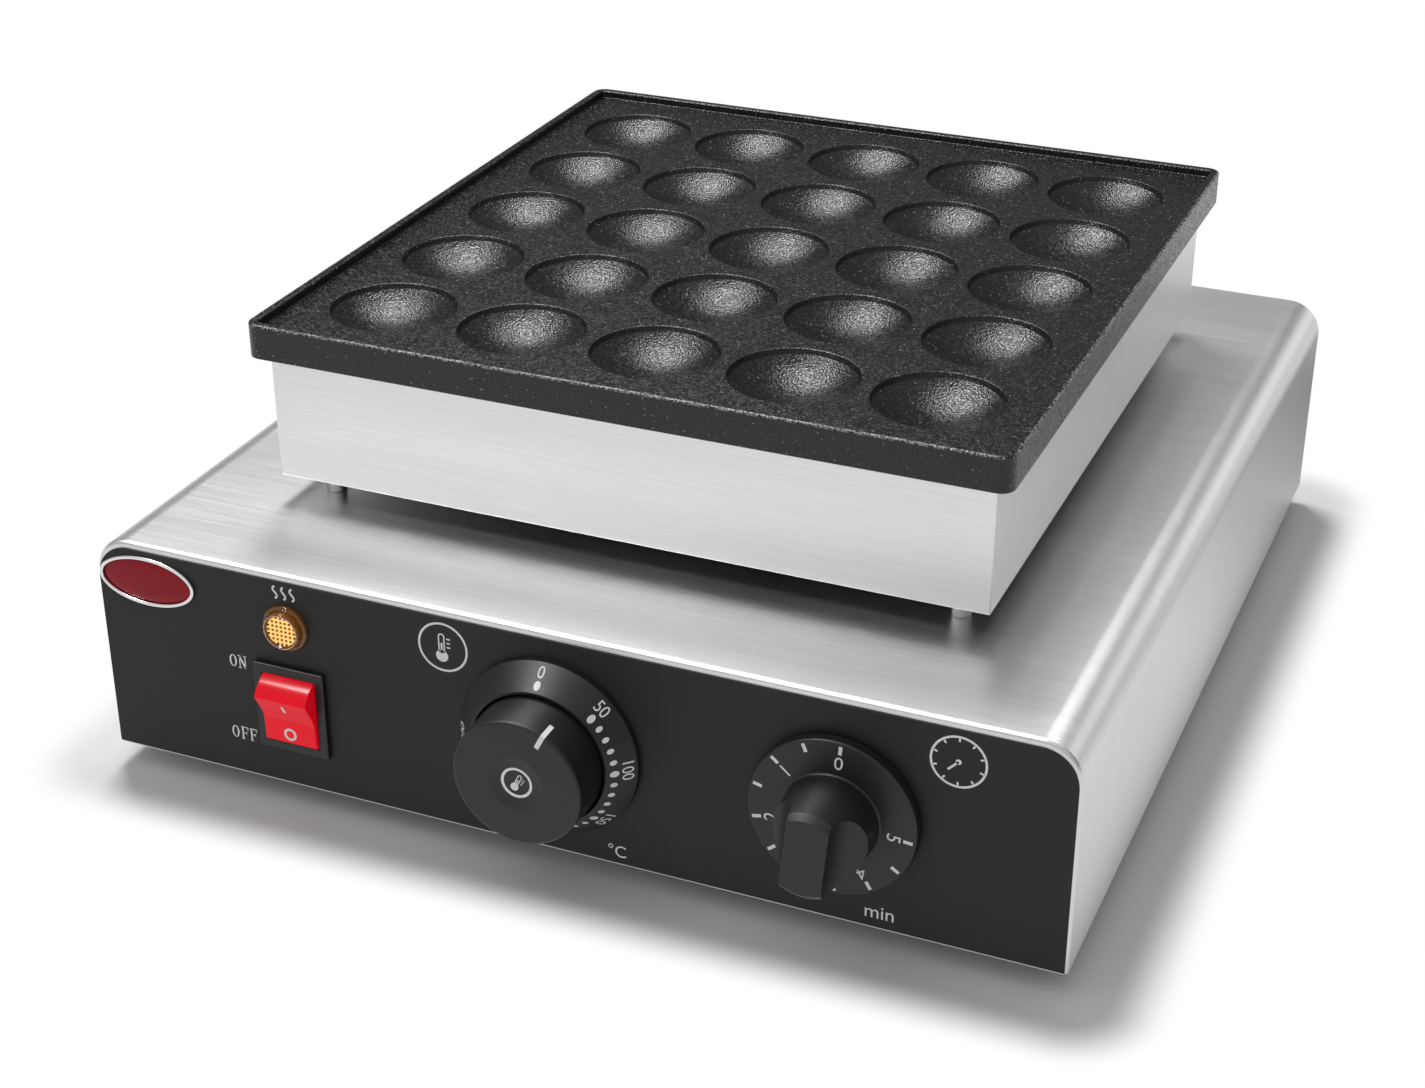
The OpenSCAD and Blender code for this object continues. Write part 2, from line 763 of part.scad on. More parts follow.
module element_link() color("goldenrod")
    translate([pin_x - link_w / 2, mid_y - tube_rows[0] - link_w / 2, pin_z - link_t])
        cube([link_w, 2 * tube_rows[0] + link_w, link_t]);

module element_clamps() color("darkgray")
    for (s = [-1, 1]) difference() {
        translate([s * clamp_x - clamp_w / 2, mid_y - clamp_l / 2, z_clamp - clamp_t])
            cube([clamp_w, clamp_l, clamp_t]);
        for (j = [-1, 1]) translate([s * clamp_x, mid_y + j * clamp_y, z_clamp])
            cylinder(d = bolt_hole, h = 4 * clamp_t, center = true);
    }

module clamp_bolts() color("gainsboro") {
    for (i = [-1, 1], j = [-1, 1])
        translate([i * clamp_x, mid_y + j * clamp_y, z_clamp - clamp_t]) mirror([0, 0, 1])
            pan_screw(bolt_d, z_heel + bolt_grip - z_clamp + clamp_t, bolt_head_d, bolt_head_h);
    translate([clip_x, mid_y + clip_y, z_bulb - bulb_d / 2 - touch - clip_t]) mirror([0, 0, 1])
        pan_screw(bolt_d, bolt_grip + bulb_d + 2 * touch + clip_t, bolt_head_d, bolt_head_h);
}

module heat_reflector() color("lightgray") translate([0, mid_y, z_reflector]) difference() {
    translate([-pad_w / 2, -pad_d / 2, 0]) cube([pad_w, pad_d, reflector_t]);
    cylinder(d = conduit_hole, h = through, center = true);
}

module insulation_pad() color("ivory") translate([0, mid_y, z_box + sheet]) difference() {
    translate([-pad_w / 2, -pad_d / 2, 0]) cube([pad_w, pad_d, pad_t]);
    translate([0, 0, -over]) cylinder(d = conduit_hole, h = pad_t + 2 * over);
}

module lead_conduit() color("lightgray") translate([0, mid_y, 0]) difference() {
    union() {
        bar(conduit_out_d, z_top - sheet - conduit_tail, z_reflector + reflector_t + conduit_rise);
        bar(collar_d, z_top, z_box);
    }
    bar(conduit_d, z_base, z_seat);
}

module sensing_bulb() color("goldenrod")
    translate([temp_x + capillary_bend, mid_y, z_bulb]) rotate([0, 90, 0]) cylinder(d = bulb_d, h = bulb_l);

module bulb_clip() color("darkgray") difference() {
    z = z_bulb - bulb_d / 2 - touch - clip_t;
    translate([clip_x - clip_w / 2, mid_y - clip_edge, z]) cube([clip_w, clip_y + 2 * clip_edge, clip_t]);
    translate([clip_x, mid_y + clip_y, z]) cylinder(d = bolt_hole, h = 4 * clip_t, center = true);
}

module capillary_tube() color("goldenrod") {
    z_start = z_base + temp_z;
    y_start = face_y + thermo_back;
    translate([temp_x, y_start, z_start]) rotate([-90, 0, 0])
        cylinder(d = capillary_d, h = mid_y - capillary_bend - y_start);
    translate([temp_x, mid_y - capillary_bend, z_start + capillary_bend]) rotate([0, 90, 0])
        elbow(capillary_bend, capillary_d);
    translate([temp_x, mid_y, 0]) bar(capillary_d, z_start + capillary_bend, z_bulb - capillary_bend);
    translate([temp_x + capillary_bend, mid_y, z_bulb - capillary_bend]) rotate([90, 0, 180])
        elbow(capillary_bend, capillary_d);
}

// Switch

module switch_housing() color([0.07, 0.07, 0.07]) on_panel(switch_x, switch_z) difference() {
    union() {
        translate([-switch_w / 2, -switch_h / 2, 0]) cube([switch_w, switch_h, switch_flange]);
        translate([-switch_body_w / 2, -switch_body_h / 2, -switch_depth])
            cube([switch_body_w, switch_body_h, switch_depth + switch_flange / 2]);
    }
    translate([0, 0, -pivot_depth]) rotate([0, 90, 0]) {
        cylinder(r = rocker_r + cavity_gap, h = rocker_w + 2 * cavity_gap, center = true);
        cylinder(d = pivot_d + 2 * run_gap, h = switch_w, center = true);
    }
}

module rocker() color([0.8, 0.05, 0.1, 0.9]) on_panel(switch_x, switch_z)
    translate([0, 0, -pivot_depth]) rotate([rocker_tilt, 0, 0]) {
        reach = rocker_r + over;
        intersection() {
            rotate([90, 0, 90]) translate([0, 0, -rocker_w / 2]) linear_extrude(rocker_w) polygon([
                [-reach, -rocker_back], [reach, -rocker_back], [reach, rocker_crest + rocker_dip / 2],
                [0, rocker_crest - rocker_dip], [-reach, rocker_crest + rocker_dip / 2]]);
            rotate([0, 90, 0]) cylinder(r = rocker_r, h = rocker_w, center = true);
        }
        rotate([0, 90, 0]) cylinder(d = pivot_d, h = rocker_w + 2 * pin_stub, center = true);
    }

module switch_terminals() color("goldenrod") on_panel(switch_x, switch_z)
    for (i = [-1, 1], j = [-1, 1])
        translate([i * spade_step / 2 - spade_w / 2, j * spade_step / 2 - spade_t / 2, -switch_depth - spade_l])
            cube([spade_w, spade_t, spade_l]);

// Lamp

module lamp_body() color([0.25, 0.25, 0.25]) on_panel(switch_x, lamp_z) {
    bar(lamp_body_d, -lamp_depth, 0);
    for (s = [-1, 1]) translate([s * lamp_body_d / 4, 0, 0])
        bar(lamp_pin_d, -lamp_depth - spade_l, -lamp_depth);
}

module lamp_lens() color([0.95, 0.55, 0.1, 0.8]) on_panel(switch_x, lamp_z) {
    bar(lens_d, 0, lens_flange);
    translate([0, 0, lens_flange])
        cylinder(d1 = lens_face_d, d2 = lens_face_d - lens_draft, h = lens_h - lens_flange);
}

module lamp_nut() color("gainsboro") on_panel(switch_x, lamp_z)
    translate([0, 0, -panel_back - lamp_nut_h]) hex_nut(lamp_nut_d, lamp_nut_h, lamp_body_d + 2 * cut_gap);

// Temperature control

module temperature_ring() color([0.06, 0.06, 0.06]) on_panel(temp_x, temp_z) difference() {
    union() {
        cylinder(d = ring_d, h = ring_edge);
        translate([0, 0, ring_edge]) cylinder(d1 = ring_d, d2 = ring_front_d, h = ring_t - ring_edge);
    }
    bar(ring_hole_d, -over, ring_t + over);
}

module temperature_knob() color([0.06, 0.06, 0.06]) on_panel(temp_x, temp_z) rotate(-pointer_angle) {
    difference() {
        union() {
            translate([0, 0, knob_gap])
                cylinder(d1 = knob_d + knob_taper, d2 = knob_d, h = knob_h - knob_edge - knob_gap);
            translate([0, 0, knob_h - knob_edge])
                cylinder(d1 = knob_d, d2 = knob_d - 2 * knob_edge, h = knob_edge);
        }
        bar(knob_d - 2 * knob_wall, 0, knob_h - knob_front);
        bar(knob_dimple_d, knob_h - knob_dimple, knob_h + over);
        translate([-pointer_w / 2, pointer_from, knob_h - pointer_t]) cube([pointer_w, knob_d, over]);
    }
    difference() {
        bar(knob_hub_d, hub_start, knob_h - knob_front + root);
        flat_shaft(shaft_d + 2 * press_gap, 0, knob_h - knob_front, hub_start);
    }
}

module thermostat_shaft() color("silver") on_panel(temp_x, temp_z) rotate(-pointer_angle)
    flat_shaft(shaft_d, -shaft_in, knob_h - knob_front - shaft_stop, hub_start);

// A control's body behind the panel: bracket, box, threaded bush and shaft bore
module control_body(w, h, depth) {
    difference() {
        union() {
            translate([-w / 2 - bracket_edge, -h / 2, -panel_back - bracket_t])
                cube([w + 2 * bracket_edge, h, bracket_t]);
            translate([-w / 2, -h / 2, -panel_back - bracket_t - depth]) cube([w, h, depth]);
            bar(bush_d, -panel_back - bracket_t, bush_out);
        }
        bar(shaft_d + 2 * run_gap, -shaft_in - shaft_stop, bush_out + over);
        for (s = [-1, 1]) translate([0, s * fix_step, 0]) bar(hole_d, -panel_back - bracket_t - fix_l, 0);
    }
}

module thermostat_body() color("lightsteelblue") on_panel(temp_x, temp_z)
    control_body(thermo_w, thermo_h, thermo_depth);

// The two screws that hold a control to the panel
module control_screws() {
    for (s = [-1, 1]) translate([0, s * fix_step, 0])
        pan_screw(screw_d, panel_back + bracket_t + fix_l - shaft_stop, fix_head_d, fix_head_h);
}

module thermostat_screws() color("gainsboro") on_panel(temp_x, temp_z) control_screws();

// Timer

module timer_knob() color([0.06, 0.06, 0.06]) on_panel(timer_x, timer_z) rotate(-dial_angle) {
    dial_top = dial_gap + dial_t;
    difference() {
        union() {
            bar(dial_d, dial_gap, dial_top - dial_edge);
            translate([0, 0, dial_top - dial_edge])
                cylinder(d1 = dial_d, d2 = dial_d - 2 * dial_edge, h = dial_edge);
            translate([0, 0, dial_top - dial_edge])
                cylinder(d1 = grip_root_d, d2 = grip_front_d, h = grip_h - dial_top + dial_edge);
        }
        bar(dial_hollow_d, 0, dial_gap + dial_hollow);
        for (s = [-1, 1]) translate([s * (grip_w / 2 + scoop_r), 0, grip_h]) rotate([90, 0, 0])
            cylinder(r = scoop_r, h = 2 * grip_root_d, center = true);
        flat_shaft(shaft_d + 2 * press_gap, 0, grip_bore, dial_gap + dial_hollow);
    }
}

module timer_shaft() color("silver") on_panel(timer_x, timer_z) rotate(-dial_angle)
    flat_shaft(shaft_d, -shaft_in, grip_bore - shaft_stop, dial_gap + dial_hollow);

module timer_case() color("lightgray") on_panel(timer_x, timer_z)
    control_body(timer_w, timer_h, timer_depth);

module timer_screws() color("gainsboro") on_panel(timer_x, timer_z) control_screws();

// Badge, a plain oval

module oval(w, h) {
    polygon([for (k = [0:$fn - 1]) [w / 2 * cos(360 * k / $fn), h / 2 * sin(360 * k / $fn)]]);
}

module badge_rim() color("silver") on_panel(badge_x, badge_z) linear_extrude(badge_t) difference() {
    oval(badge_w, badge_h);
    oval(badge_w - 2 * badge_rim, badge_h - 2 * badge_rim);
}

module badge_inlay() color([0.62, 0.06, 0.1]) on_panel(badge_x, badge_z) linear_extrude(badge_inlay_t)
    oval(badge_w - 2 * badge_rim - 2 * touch, badge_h - 2 * badge_rim - 2 * touch);

// Wiring

module terminal_block() color("white") translate([gland_x, block_y, z_floor]) difference() {
    translate([-block_w / 2, -block_d / 2, 0]) cube([block_w, block_d, block_h]);
    for (k = [-1, 0, 1]) translate([k * block_step, 0, 0]) {
        translate([0, 0, block_h / 2]) rotate([90, 0, 0])
            cylinder(d = block_bore, h = 2 * block_d, center = true);
        bar(clamp_screw_d + 2 * screw_gap, block_h / 2, block_h + over);
    }
    for (s = [-1, 1]) translate([s * block_screw_x, 0, 0])
        bar(block_screw_d + 2 * screw_gap, -over, block_h + over);
}

module block_screws() color("gainsboro")
    for (s = [-1, 1]) translate([gland_x + s * block_screw_x, block_y, z_floor + block_h])
        pan_screw(block_screw_d, block_h + 2 * sheet, block_head_d, fix_head_h);

module terminal_screws() color("goldenrod")
    for (k = [-1, 0, 1]) translate([gland_x + k * block_step, block_y, z_floor])
        bar(clamp_screw_d, block_h / 2 + block_bore / 2, block_h - clamp_screw_sink);

module earth_stud() color("goldenrod") translate([earth_x, earth_y, z_floor]) {
    translate([0, 0, -sheet]) mirror([0, 0, 1])
        pan_screw(earth_d, earth_l, bolt_head_d, screw_head_h);
    hex_nut(rod_nut_d, rod_nut_h, earth_d + 2 * screw_gap);
}

// Leads inside the base and the heater box; each point is a place in the frame
pin_y = tube_rows[1];
wire_end = 0.9;
lead_z = pin_z - wire_d / 2 - wire_end;
switch_back_y = face_y + switch_depth + spade_l + wire_end;
thermo_back_y = face_y + thermo_back + wire_end;
timer_back_y = face_y + timer_back + wire_end;
block_front_y = block_y - block_d / 2 - wire_end;
block_wire_z = z_floor + block_h / 2;
spade_z = z_base + switch_z;
conduit_wire = 4;

// Points from a tube's pin, on the side s, down through the conduit
function conduit_points(s) = [
    [pin_x, mid_y + s * pin_y, lead_z], [50, mid_y + s * 45, lead_z], [20, mid_y + s * 18, lead_z],
    [10, mid_y + s * 9, lead_z + 1], [5, mid_y + s * 5, lead_z - 1.6],
    [conduit_wire, mid_y + s * conduit_wire, z_box + 2], [conduit_wire, mid_y + s * conduit_wire, z_top - 12]
];

module wiring() color("firebrick") {
    // From the rear tube to the terminal block
    wire(concat(conduit_points(1), [
        [40, mid_y + 30, block_wire_z + 14], [gland_x + block_step, block_front_y - 20, block_wire_z],
        [gland_x + block_step, block_front_y, block_wire_z]]));
    // From the front tube to the thermostat
    wire(concat(conduit_points(-1), [
        [8, mid_y - 60, z_base + 50], [8, thermo_back_y + 12, z_base + 26], [8, thermo_back_y, z_base + 26]]));
    // From the terminal block to the switch
    wire([
        [gland_x, block_front_y, block_wire_z], [gland_x - 10, block_front_y - 25, block_wire_z],
        [-20, mid_y + 10, block_wire_z], [-80, mid_y - 70, block_wire_z],
        [switch_x - 7, switch_back_y + 25, spade_z - 7], [switch_x - 7, switch_back_y, spade_z - 7]]);
    // From the switch to the timer
    wire([
        [switch_x + 7, switch_back_y, spade_z + 7], [switch_x + 12, switch_back_y + 22, spade_z + 8],
        [-30, timer_back_y + 30, z_base + 62], [50, timer_back_y + 32, z_base + 62],
        [timer_x - 8, timer_back_y + 16, z_base + 46], [timer_x - 8, timer_back_y, z_base + 46]]);
    // From the timer to the thermostat
    wire([
        [timer_x - 8, timer_back_y, z_base + 28], [timer_x - 10, timer_back_y + 14, z_base + 28],
        [48, timer_back_y + 20, z_base + 22], [temp_x + 24, thermo_back_y + 18, z_base + 30],
        [temp_x + 12, thermo_back_y + 10, z_base + 44], [temp_x + 12, thermo_back_y, z_base + 44]]);
}

base_shell();
front_panel();
fascia();
rear_panel();
rear_screws();
bottom_plate();
bottom_screws();
rubber_feet();
foot_screws();
foot_nuts();
cord_gland();
gland_nut();
heater_box();
spacer_posts();
tie_rods();
rod_washers();
rod_nuts();
baking_plate();
heating_tubes();
element_link();
element_clamps();
clamp_bolts();
heat_reflector();
insulation_pad();
lead_conduit();
sensing_bulb();
bulb_clip();
capillary_tube();
switch_housing();
rocker();
switch_terminals();
lamp_body();
lamp_lens();
lamp_nut();
temperature_ring();
temperature_knob();
thermostat_shaft();
thermostat_body();
thermostat_screws();
timer_knob();
timer_shaft();
timer_case();
timer_screws();
badge_rim();
badge_inlay();
terminal_block();
block_screws();
terminal_screws();
earth_stud();
wiring();
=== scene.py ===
# %% [markdown]
# A mini pancake maker, dressed for its picture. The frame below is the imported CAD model: every node sits
# where it belongs, in metres, Z up, the panel facing -Y. This lesson keeps that frame fixed. It gives each
# surface its finish, and it models the pieces that show most, because CAD nodes come in with hard edges and
# flat facets.

# %% Load the frame
import json
import math

import bmesh
import bpy
from mathutils import Matrix, Vector


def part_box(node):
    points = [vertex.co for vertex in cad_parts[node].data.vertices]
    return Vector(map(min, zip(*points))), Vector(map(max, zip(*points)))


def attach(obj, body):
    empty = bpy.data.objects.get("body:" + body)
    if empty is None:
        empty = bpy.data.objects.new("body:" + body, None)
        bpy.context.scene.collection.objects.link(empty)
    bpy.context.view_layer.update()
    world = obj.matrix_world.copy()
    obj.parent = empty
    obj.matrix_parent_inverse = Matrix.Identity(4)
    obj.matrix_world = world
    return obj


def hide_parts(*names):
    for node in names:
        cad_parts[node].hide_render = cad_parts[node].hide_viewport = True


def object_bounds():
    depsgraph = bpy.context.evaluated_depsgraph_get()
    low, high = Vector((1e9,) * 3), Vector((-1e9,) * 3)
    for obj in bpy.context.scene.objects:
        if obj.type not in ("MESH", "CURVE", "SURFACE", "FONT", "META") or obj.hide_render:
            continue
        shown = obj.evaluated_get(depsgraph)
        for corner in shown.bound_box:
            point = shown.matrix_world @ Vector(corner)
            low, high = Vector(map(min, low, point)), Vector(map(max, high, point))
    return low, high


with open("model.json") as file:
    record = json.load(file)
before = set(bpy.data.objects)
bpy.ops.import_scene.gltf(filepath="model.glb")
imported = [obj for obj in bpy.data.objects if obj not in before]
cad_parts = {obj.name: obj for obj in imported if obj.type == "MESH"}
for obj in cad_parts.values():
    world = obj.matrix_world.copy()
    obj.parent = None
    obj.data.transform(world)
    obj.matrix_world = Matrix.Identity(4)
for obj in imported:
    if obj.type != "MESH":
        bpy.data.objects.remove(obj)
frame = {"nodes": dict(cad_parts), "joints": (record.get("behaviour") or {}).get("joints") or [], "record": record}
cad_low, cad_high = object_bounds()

MM = 0.001
nodes = frame["nodes"]
slot_of = {part["node"]: part["material_slot"] for part in frame["record"]["subparts"]}
print(len(nodes), "nodes in", [round(side / MM, 1) for side in cad_high - cad_low], "mm")

# %% [markdown]
# The camera looks down at the front right corner. Its place and lens were solved from edges in the
# photograph, with no shift, so that other views stay centred.

# %% Camera
CAMERA_PLACE = (303.5 * MM, -765.0 * MM, 472.7 * MM)
CAMERA_TURN = (math.radians(62.04), 0, math.radians(22.85))
CAMERA_LENS = 62.45

camera_data = bpy.data.cameras.new("camera")
camera_data.lens = CAMERA_LENS
camera_data.sensor_width = 36
camera = bpy.data.objects.new("camera", camera_data)
camera.location = CAMERA_PLACE
camera.rotation_euler = CAMERA_TURN
bpy.context.collection.objects.link(camera)
bpy.context.scene.camera = camera
bpy.context.scene.view_settings.view_transform = "Standard"
print("camera at", CAMERA_PLACE)

# %% [markdown]
# Steel shows what stands around it, so the studio matters as much as the finish. An even dome would leave
# the steel flat, so this one is dim behind the object and brighter overhead and in front; the camera sees
# it as plain white. The key is a soft box high up behind, at the left: it draws the glint in the dishes and
# throws a short shadow to the front right. The other boxes are seen only in reflections: one in the top of
# the base, one along its right bend, and one in front for the edges of ring, knobs and switch.

# %% Dome and soft boxes
DOME_DIM = 0.15
DOME_BRIGHT = 0.75
DOME_WAY = (0, -0.45, 0.9)

world = bpy.data.worlds.new("studio")
bpy.context.scene.world = world
world.use_nodes = True
sky = world.node_tree
direction = sky.nodes.new("ShaderNodeTexCoord")
facing = sky.nodes.new("ShaderNodeVectorMath")
facing.operation = "DOT_PRODUCT"
facing.inputs[1].default_value = DOME_WAY
ramp = sky.nodes.new("ShaderNodeMapRange")
ramp.inputs["To Min"].default_value = DOME_DIM
ramp.inputs["To Max"].default_value = DOME_BRIGHT
path = sky.nodes.new("ShaderNodeLightPath")
white = sky.nodes.new("ShaderNodeMath")
white.operation = "MAXIMUM"
sky.links.new(direction.outputs["Generated"], facing.inputs[0])
sky.links.new(facing.outputs["Value"], ramp.inputs["Value"])
sky.links.new(ramp.outputs[0], white.inputs[0])
sky.links.new(path.outputs["Is Camera Ray"], white.inputs[1])
sky.links.new(white.outputs[0], sky.nodes["Background"].inputs["Color"])


def soft_box(name, place, target, size, power):
    """An area lamp that points at the target."""
    lamp_data = bpy.data.lights.new(name, "AREA")
    lamp_data.shape = "RECTANGLE"
    lamp_data.size = size[0]
    lamp_data.size_y = size[1]
    lamp_data.energy = power
    lamp = bpy.data.objects.new(name, lamp_data)
    lamp.location = place
    lamp.rotation_euler = (Vector(target) - Vector(place)).to_track_quat("-Z", "Y").to_euler()
    lamp.visible_camera = False
    bpy.context.collection.objects.link(lamp)
    return lamp


middle_of_part = (cad_low + cad_high) / 2
soft_box("key_box", (-0.5, 0.57, 1.45), middle_of_part, (0.6, 0.45), 18)
mirror_boxes = [
    soft_box("top_box", (0.3, 1.0, 1.33), middle_of_part, (0.8, 0.5), 5.6),
    soft_box("bend_box", (1.15, 1.67, 0.55), middle_of_part, (1.05, 0.7), 3.2),
    soft_box("panel_box", (-0.6, -0.65, 1.35), middle_of_part, (0.4, 0.4), 20),
]
for lamp in mirror_boxes:
    lamp.visible_diffuse = False
print(len(bpy.data.lights), "soft boxes")

# %% [markdown]
# Shader maths reads best as plain expressions. A Wire is one output socket; adding or multiplying wires
# adds Math nodes. A Finish is one material, and its node() method makes any other node.

# %% Wires and finishes


def join(value, socket):
    """Feeds a socket with a wire or a plain value."""
    if isinstance(value, Wire):
        socket.id_data.links.new(value.socket, socket)
    else:
        socket.default_value = value


class Wire:
    """An output socket that can be used in Python expressions."""

    def __init__(self, socket):
        self.socket = socket

    def math(self, operation, *terms):
        node = self.socket.id_data.nodes.new("ShaderNodeMath")
        node.operation = operation
        for term, place in zip(terms, node.inputs):
            join(term, place)
        return Wire(node.outputs[0])

    def __add__(self, other):
        return self.math("ADD", self, other)

    def __radd__(self, other):
        return self.math("ADD", other, self)

    def __sub__(self, other):
        return self.math("SUBTRACT", self, other)

    def __rsub__(self, other):
        return self.math("SUBTRACT", other, self)

    def __mul__(self, other):
        return self.math("MULTIPLY", self, other)

    def __rmul__(self, other):
        return self.math("MULTIPLY", other, self)

    def __gt__(self, other):
        return self.math("GREATER_THAN", self, other)

    def __lt__(self, other):
        return self.math("LESS_THAN", self, other)

    def past(self, low, high):
        """How far the value lies outside the span from low to high; it is negative inside."""
        off = self - (low + high) / 2
        return off.math("ABSOLUTE", off) - (high - low) / 2


class Finish:
    """A material on the Principled shader, built node by node."""

    def __init__(self, name, **constants):
        self.material = bpy.data.materials.new(name)
        self.material.use_nodes = True
        self.tree = self.material.node_tree
        self.shader = self.tree.nodes["Principled BSDF"]
        for socket, value in constants.items():
            self.shader.inputs[socket.replace("_", " ")].default_value = value

    def node(self, kind, settings=None, sockets=None, output=0):
        """Any node: its settings are set first, then the values or wires of its sockets."""
        made = self.tree.nodes.new(kind)
        for key, value in (settings or {}).items():
            setattr(made, key, value)
        for key, value in (sockets or {}).items():
            join(value, made.inputs[key])
        return Wire(made.outputs[output])

    def place(self, stretch=(1, 1, 1)):
        """Object coordinates in millimetres, squeezed along each axis."""
        here = self.node("ShaderNodeTexCoord", output="Object")
        scale = [factor / MM for factor in stretch]
        return self.node("ShaderNodeMapping", None, {"Vector": here, "Scale": scale})

    def noise(self, size, stretch=(1, 1, 1), detail=2.0):
        """Cloudy noise from 0 to 1 with features of about size millimetres."""
        sockets = {"Vector": self.place(stretch), "Scale": 1 / size, "Detail": detail}
        return self.node("ShaderNodeTexNoise", None, sockets)

    def grains(self, size):
        """Grains of about size millimetres: the way to a grain's middle, and a random number per grain."""
        sockets = {"Vector": self.place(), "Scale": 1 / size}
        away = self.node("ShaderNodeTexVoronoi", None, sockets)
        tint = self.node("ShaderNodeTexVoronoi", None, sockets, output="Color")
        return away, self.node("ShaderNodeSeparateColor", None, {0: tint})

    def blend(self, mask, first, second):
        """A colour between two others."""
        sockets = {0: mask, 6: (*first, 1), 7: (*second, 1)}
        return self.node("ShaderNodeMix", {"data_type": "RGBA"}, sockets, output=2)

    def colour(self, wire):
        join(wire, self.shader.inputs["Base Color"])

    def roughness(self, wire):
        join(wire, self.shader.inputs["Roughness"])

    def bump(self, height_mm):
        """Raises the surface by a height in millimetres."""
        sockets = {"Height": height_mm * MM, "Distance": 1.0, "Strength": 1.0}
        join(self.node("ShaderNodeBump", None, sockets), self.shader.inputs["Normal"])


def grey(level):
    return (level, level, level)


print("finishes are ready to be mixed")

# %% [markdown]
# The base is stainless sheet, brushed from left to right. Real brush marks are grooves, long along X and a
# fraction of a millimetre wide. Noise that is squeezed hard along X and Z, and not along Y, draws them on
# the top and lets them run down round both bends. The marks tint the steel, change its gloss and tilt its
# surface a little.

# %% Sheet steel


def sheet_steel(name, shade, gloss, groove_mm, along):
    """Brushed sheet; groove_mm is how deep its marks go, along gives their squeeze on each axis."""
    steel = Finish(name, Metallic=1.0)
    fine = steel.noise(0.3, along, 3)
    broad = steel.noise(1.4, along, 2)
    smudge = steel.noise(60, detail=1)
    marks = fine * 0.55 + broad * 0.45
    steel.colour(steel.blend(marks, grey(shade * 0.82), grey(shade * 1.14)))
    steel.roughness(gloss + marks * 0.14 + smudge * 0.05)
    steel.bump(marks * groove_mm)
    return steel.material


brushed_sheet = sheet_steel("brushed_sheet", 0.66, 0.27, 0.08, (0.012, 1, 0.012))
satin_sheet = sheet_steel("satin_sheet", 0.7, 0.22, 0.015, (0.012, 0.012, 1))
print(brushed_sheet.name, satin_sheet.name)

# %% [markdown]
# The plate is cast aluminium under a black non-stick coat. A sand casting is grainy, so Voronoi cells raise
# one small cone for each grain and give it its own tint and gloss. A few grains are bright flakes. Along the
# plate's upper outer edge the coat is lighter: partly worn thin, partly a painted highlight where the rim's
# edge catches the light. The shader finds that edge from the plate's own box.

# %% Cast plate and black plastics
GRAIN = 0.7
WEAR_AND_HIGHLIGHT_BAND = 0.8 * MM


def cast_coat():
    coat = Finish("cast_plate", Specular_IOR_Level=0.4)
    away, which = coat.grains(GRAIN)
    cloud = coat.noise(14, detail=2)
    flakes = (away < 0.35) * (which > 0.98)
    here = coat.node("ShaderNodeTexCoord", output="Object")
    x, y, z = [coat.node("ShaderNodeSeparateXYZ", None, {0: here}, output=axis) for axis in "XYZ"]
    low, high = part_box("baking_plate")
    outer = x.math("MAXIMUM", x.past(low.x, high.x), y.past(low.y, high.y))
    # Wear and painted highlight: the coat is lighter in a thin band along the rim's outer top edge.
    edge = (outer > -WEAR_AND_HIGHLIGHT_BAND) * (z > high.z - WEAR_AND_HIGHLIGHT_BAND)
    wear_and_painted_highlight = edge * (coat.noise(0.9) > 0.5) * 0.8
    coat.colour(coat.blend(which * which * 0.035 + cloud * 0.015 + flakes + wear_and_painted_highlight, grey(0.003), grey(0.3)))
    coat.roughness(0.12 + which * which * 0.36)
    coat.bump(away * -0.12 + coat.noise(0.6) * 0.07)
    return coat.material


def black_plastic(name, shade, gloss, grain_mm, relief_mm, shine):
    """Moulded plastic or paint: a fine grain and a soft cloud in its gloss."""
    black = Finish(name, Specular_IOR_Level=shine)
    grain = black.noise(grain_mm, detail=3)
    cloud = black.noise(18, detail=2)
    tint = black.blend(cloud * 0.5 + grain * 0.5, grey(shade * 0.8), grey(shade * 1.25))
    black.colour(tint)
    black.roughness(gloss + cloud * 0.1 + grain * 0.06)
    black.bump(grain * relief_mm)
    return black.material


cast_plate = cast_coat()
black_fascia = black_plastic("black_fascia", 0.012, 0.46, 0.5, 0.01, 0.3)
knob_black = black_plastic("knob_black", 0.011, 0.36, 0.45, 0.02, 0.4)
switch_black = black_plastic("switch_black", 0.01, 0.32, 0.6, 0.01, 0.4)
foot_rubber = black_plastic("foot_rubber", 0.012, 0.7, 0.8, 0.03, 0.3)
black_nylon = black_plastic("black_nylon", 0.012, 0.42, 0.6, 0.015, 0.4)
print("cast and moulded finishes made")

# %% [markdown]
# Small metal parts and inner parts get plain metals: turned bright steel, zinc plate with its faint clouds,
# brass. The rocker and the lamp's lattice are translucent plastic. A weak glow of their own colour stands
# for the light that real plastic passes on, which is simpler than true scattering. The lattice's colour
# carries painted shade: pale amber on its ridges, it darkens with depth to brown in its pits.

# %% Small metals, inner parts, colours
LATTICE_DROP = 0.7
PIT_DEEP = 0.8


def metal(name, tint, gloss, cloud_mm):
    """Plain metal with clouds in its tint and its gloss."""
    made = Finish(name, Metallic=1.0)
    cloud = made.noise(cloud_mm, detail=3)
    fine = made.noise(0.4, detail=2)
    dark = [0.88 * c for c in tint]
    made.colour(made.blend(cloud, dark, tint))
    made.roughness(gloss + cloud * 0.1 + fine * 0.05)
    made.bump(fine * 0.004)
    return made.material


def tinted(name, tint, gloss, cloud_mm, relief_mm=0.01, **constants):
    """A plain coloured material with a soft cloud and a fine grain."""
    made = Finish(name, **constants)
    cloud = made.noise(cloud_mm, detail=3)
    fine = made.noise(0.5, detail=2)
    dark = [0.8 * c for c in tint]
    made.colour(made.blend(cloud, dark, tint))
    made.roughness(gloss + fine * 0.08)
    made.bump(fine * relief_mm)
    return made.material


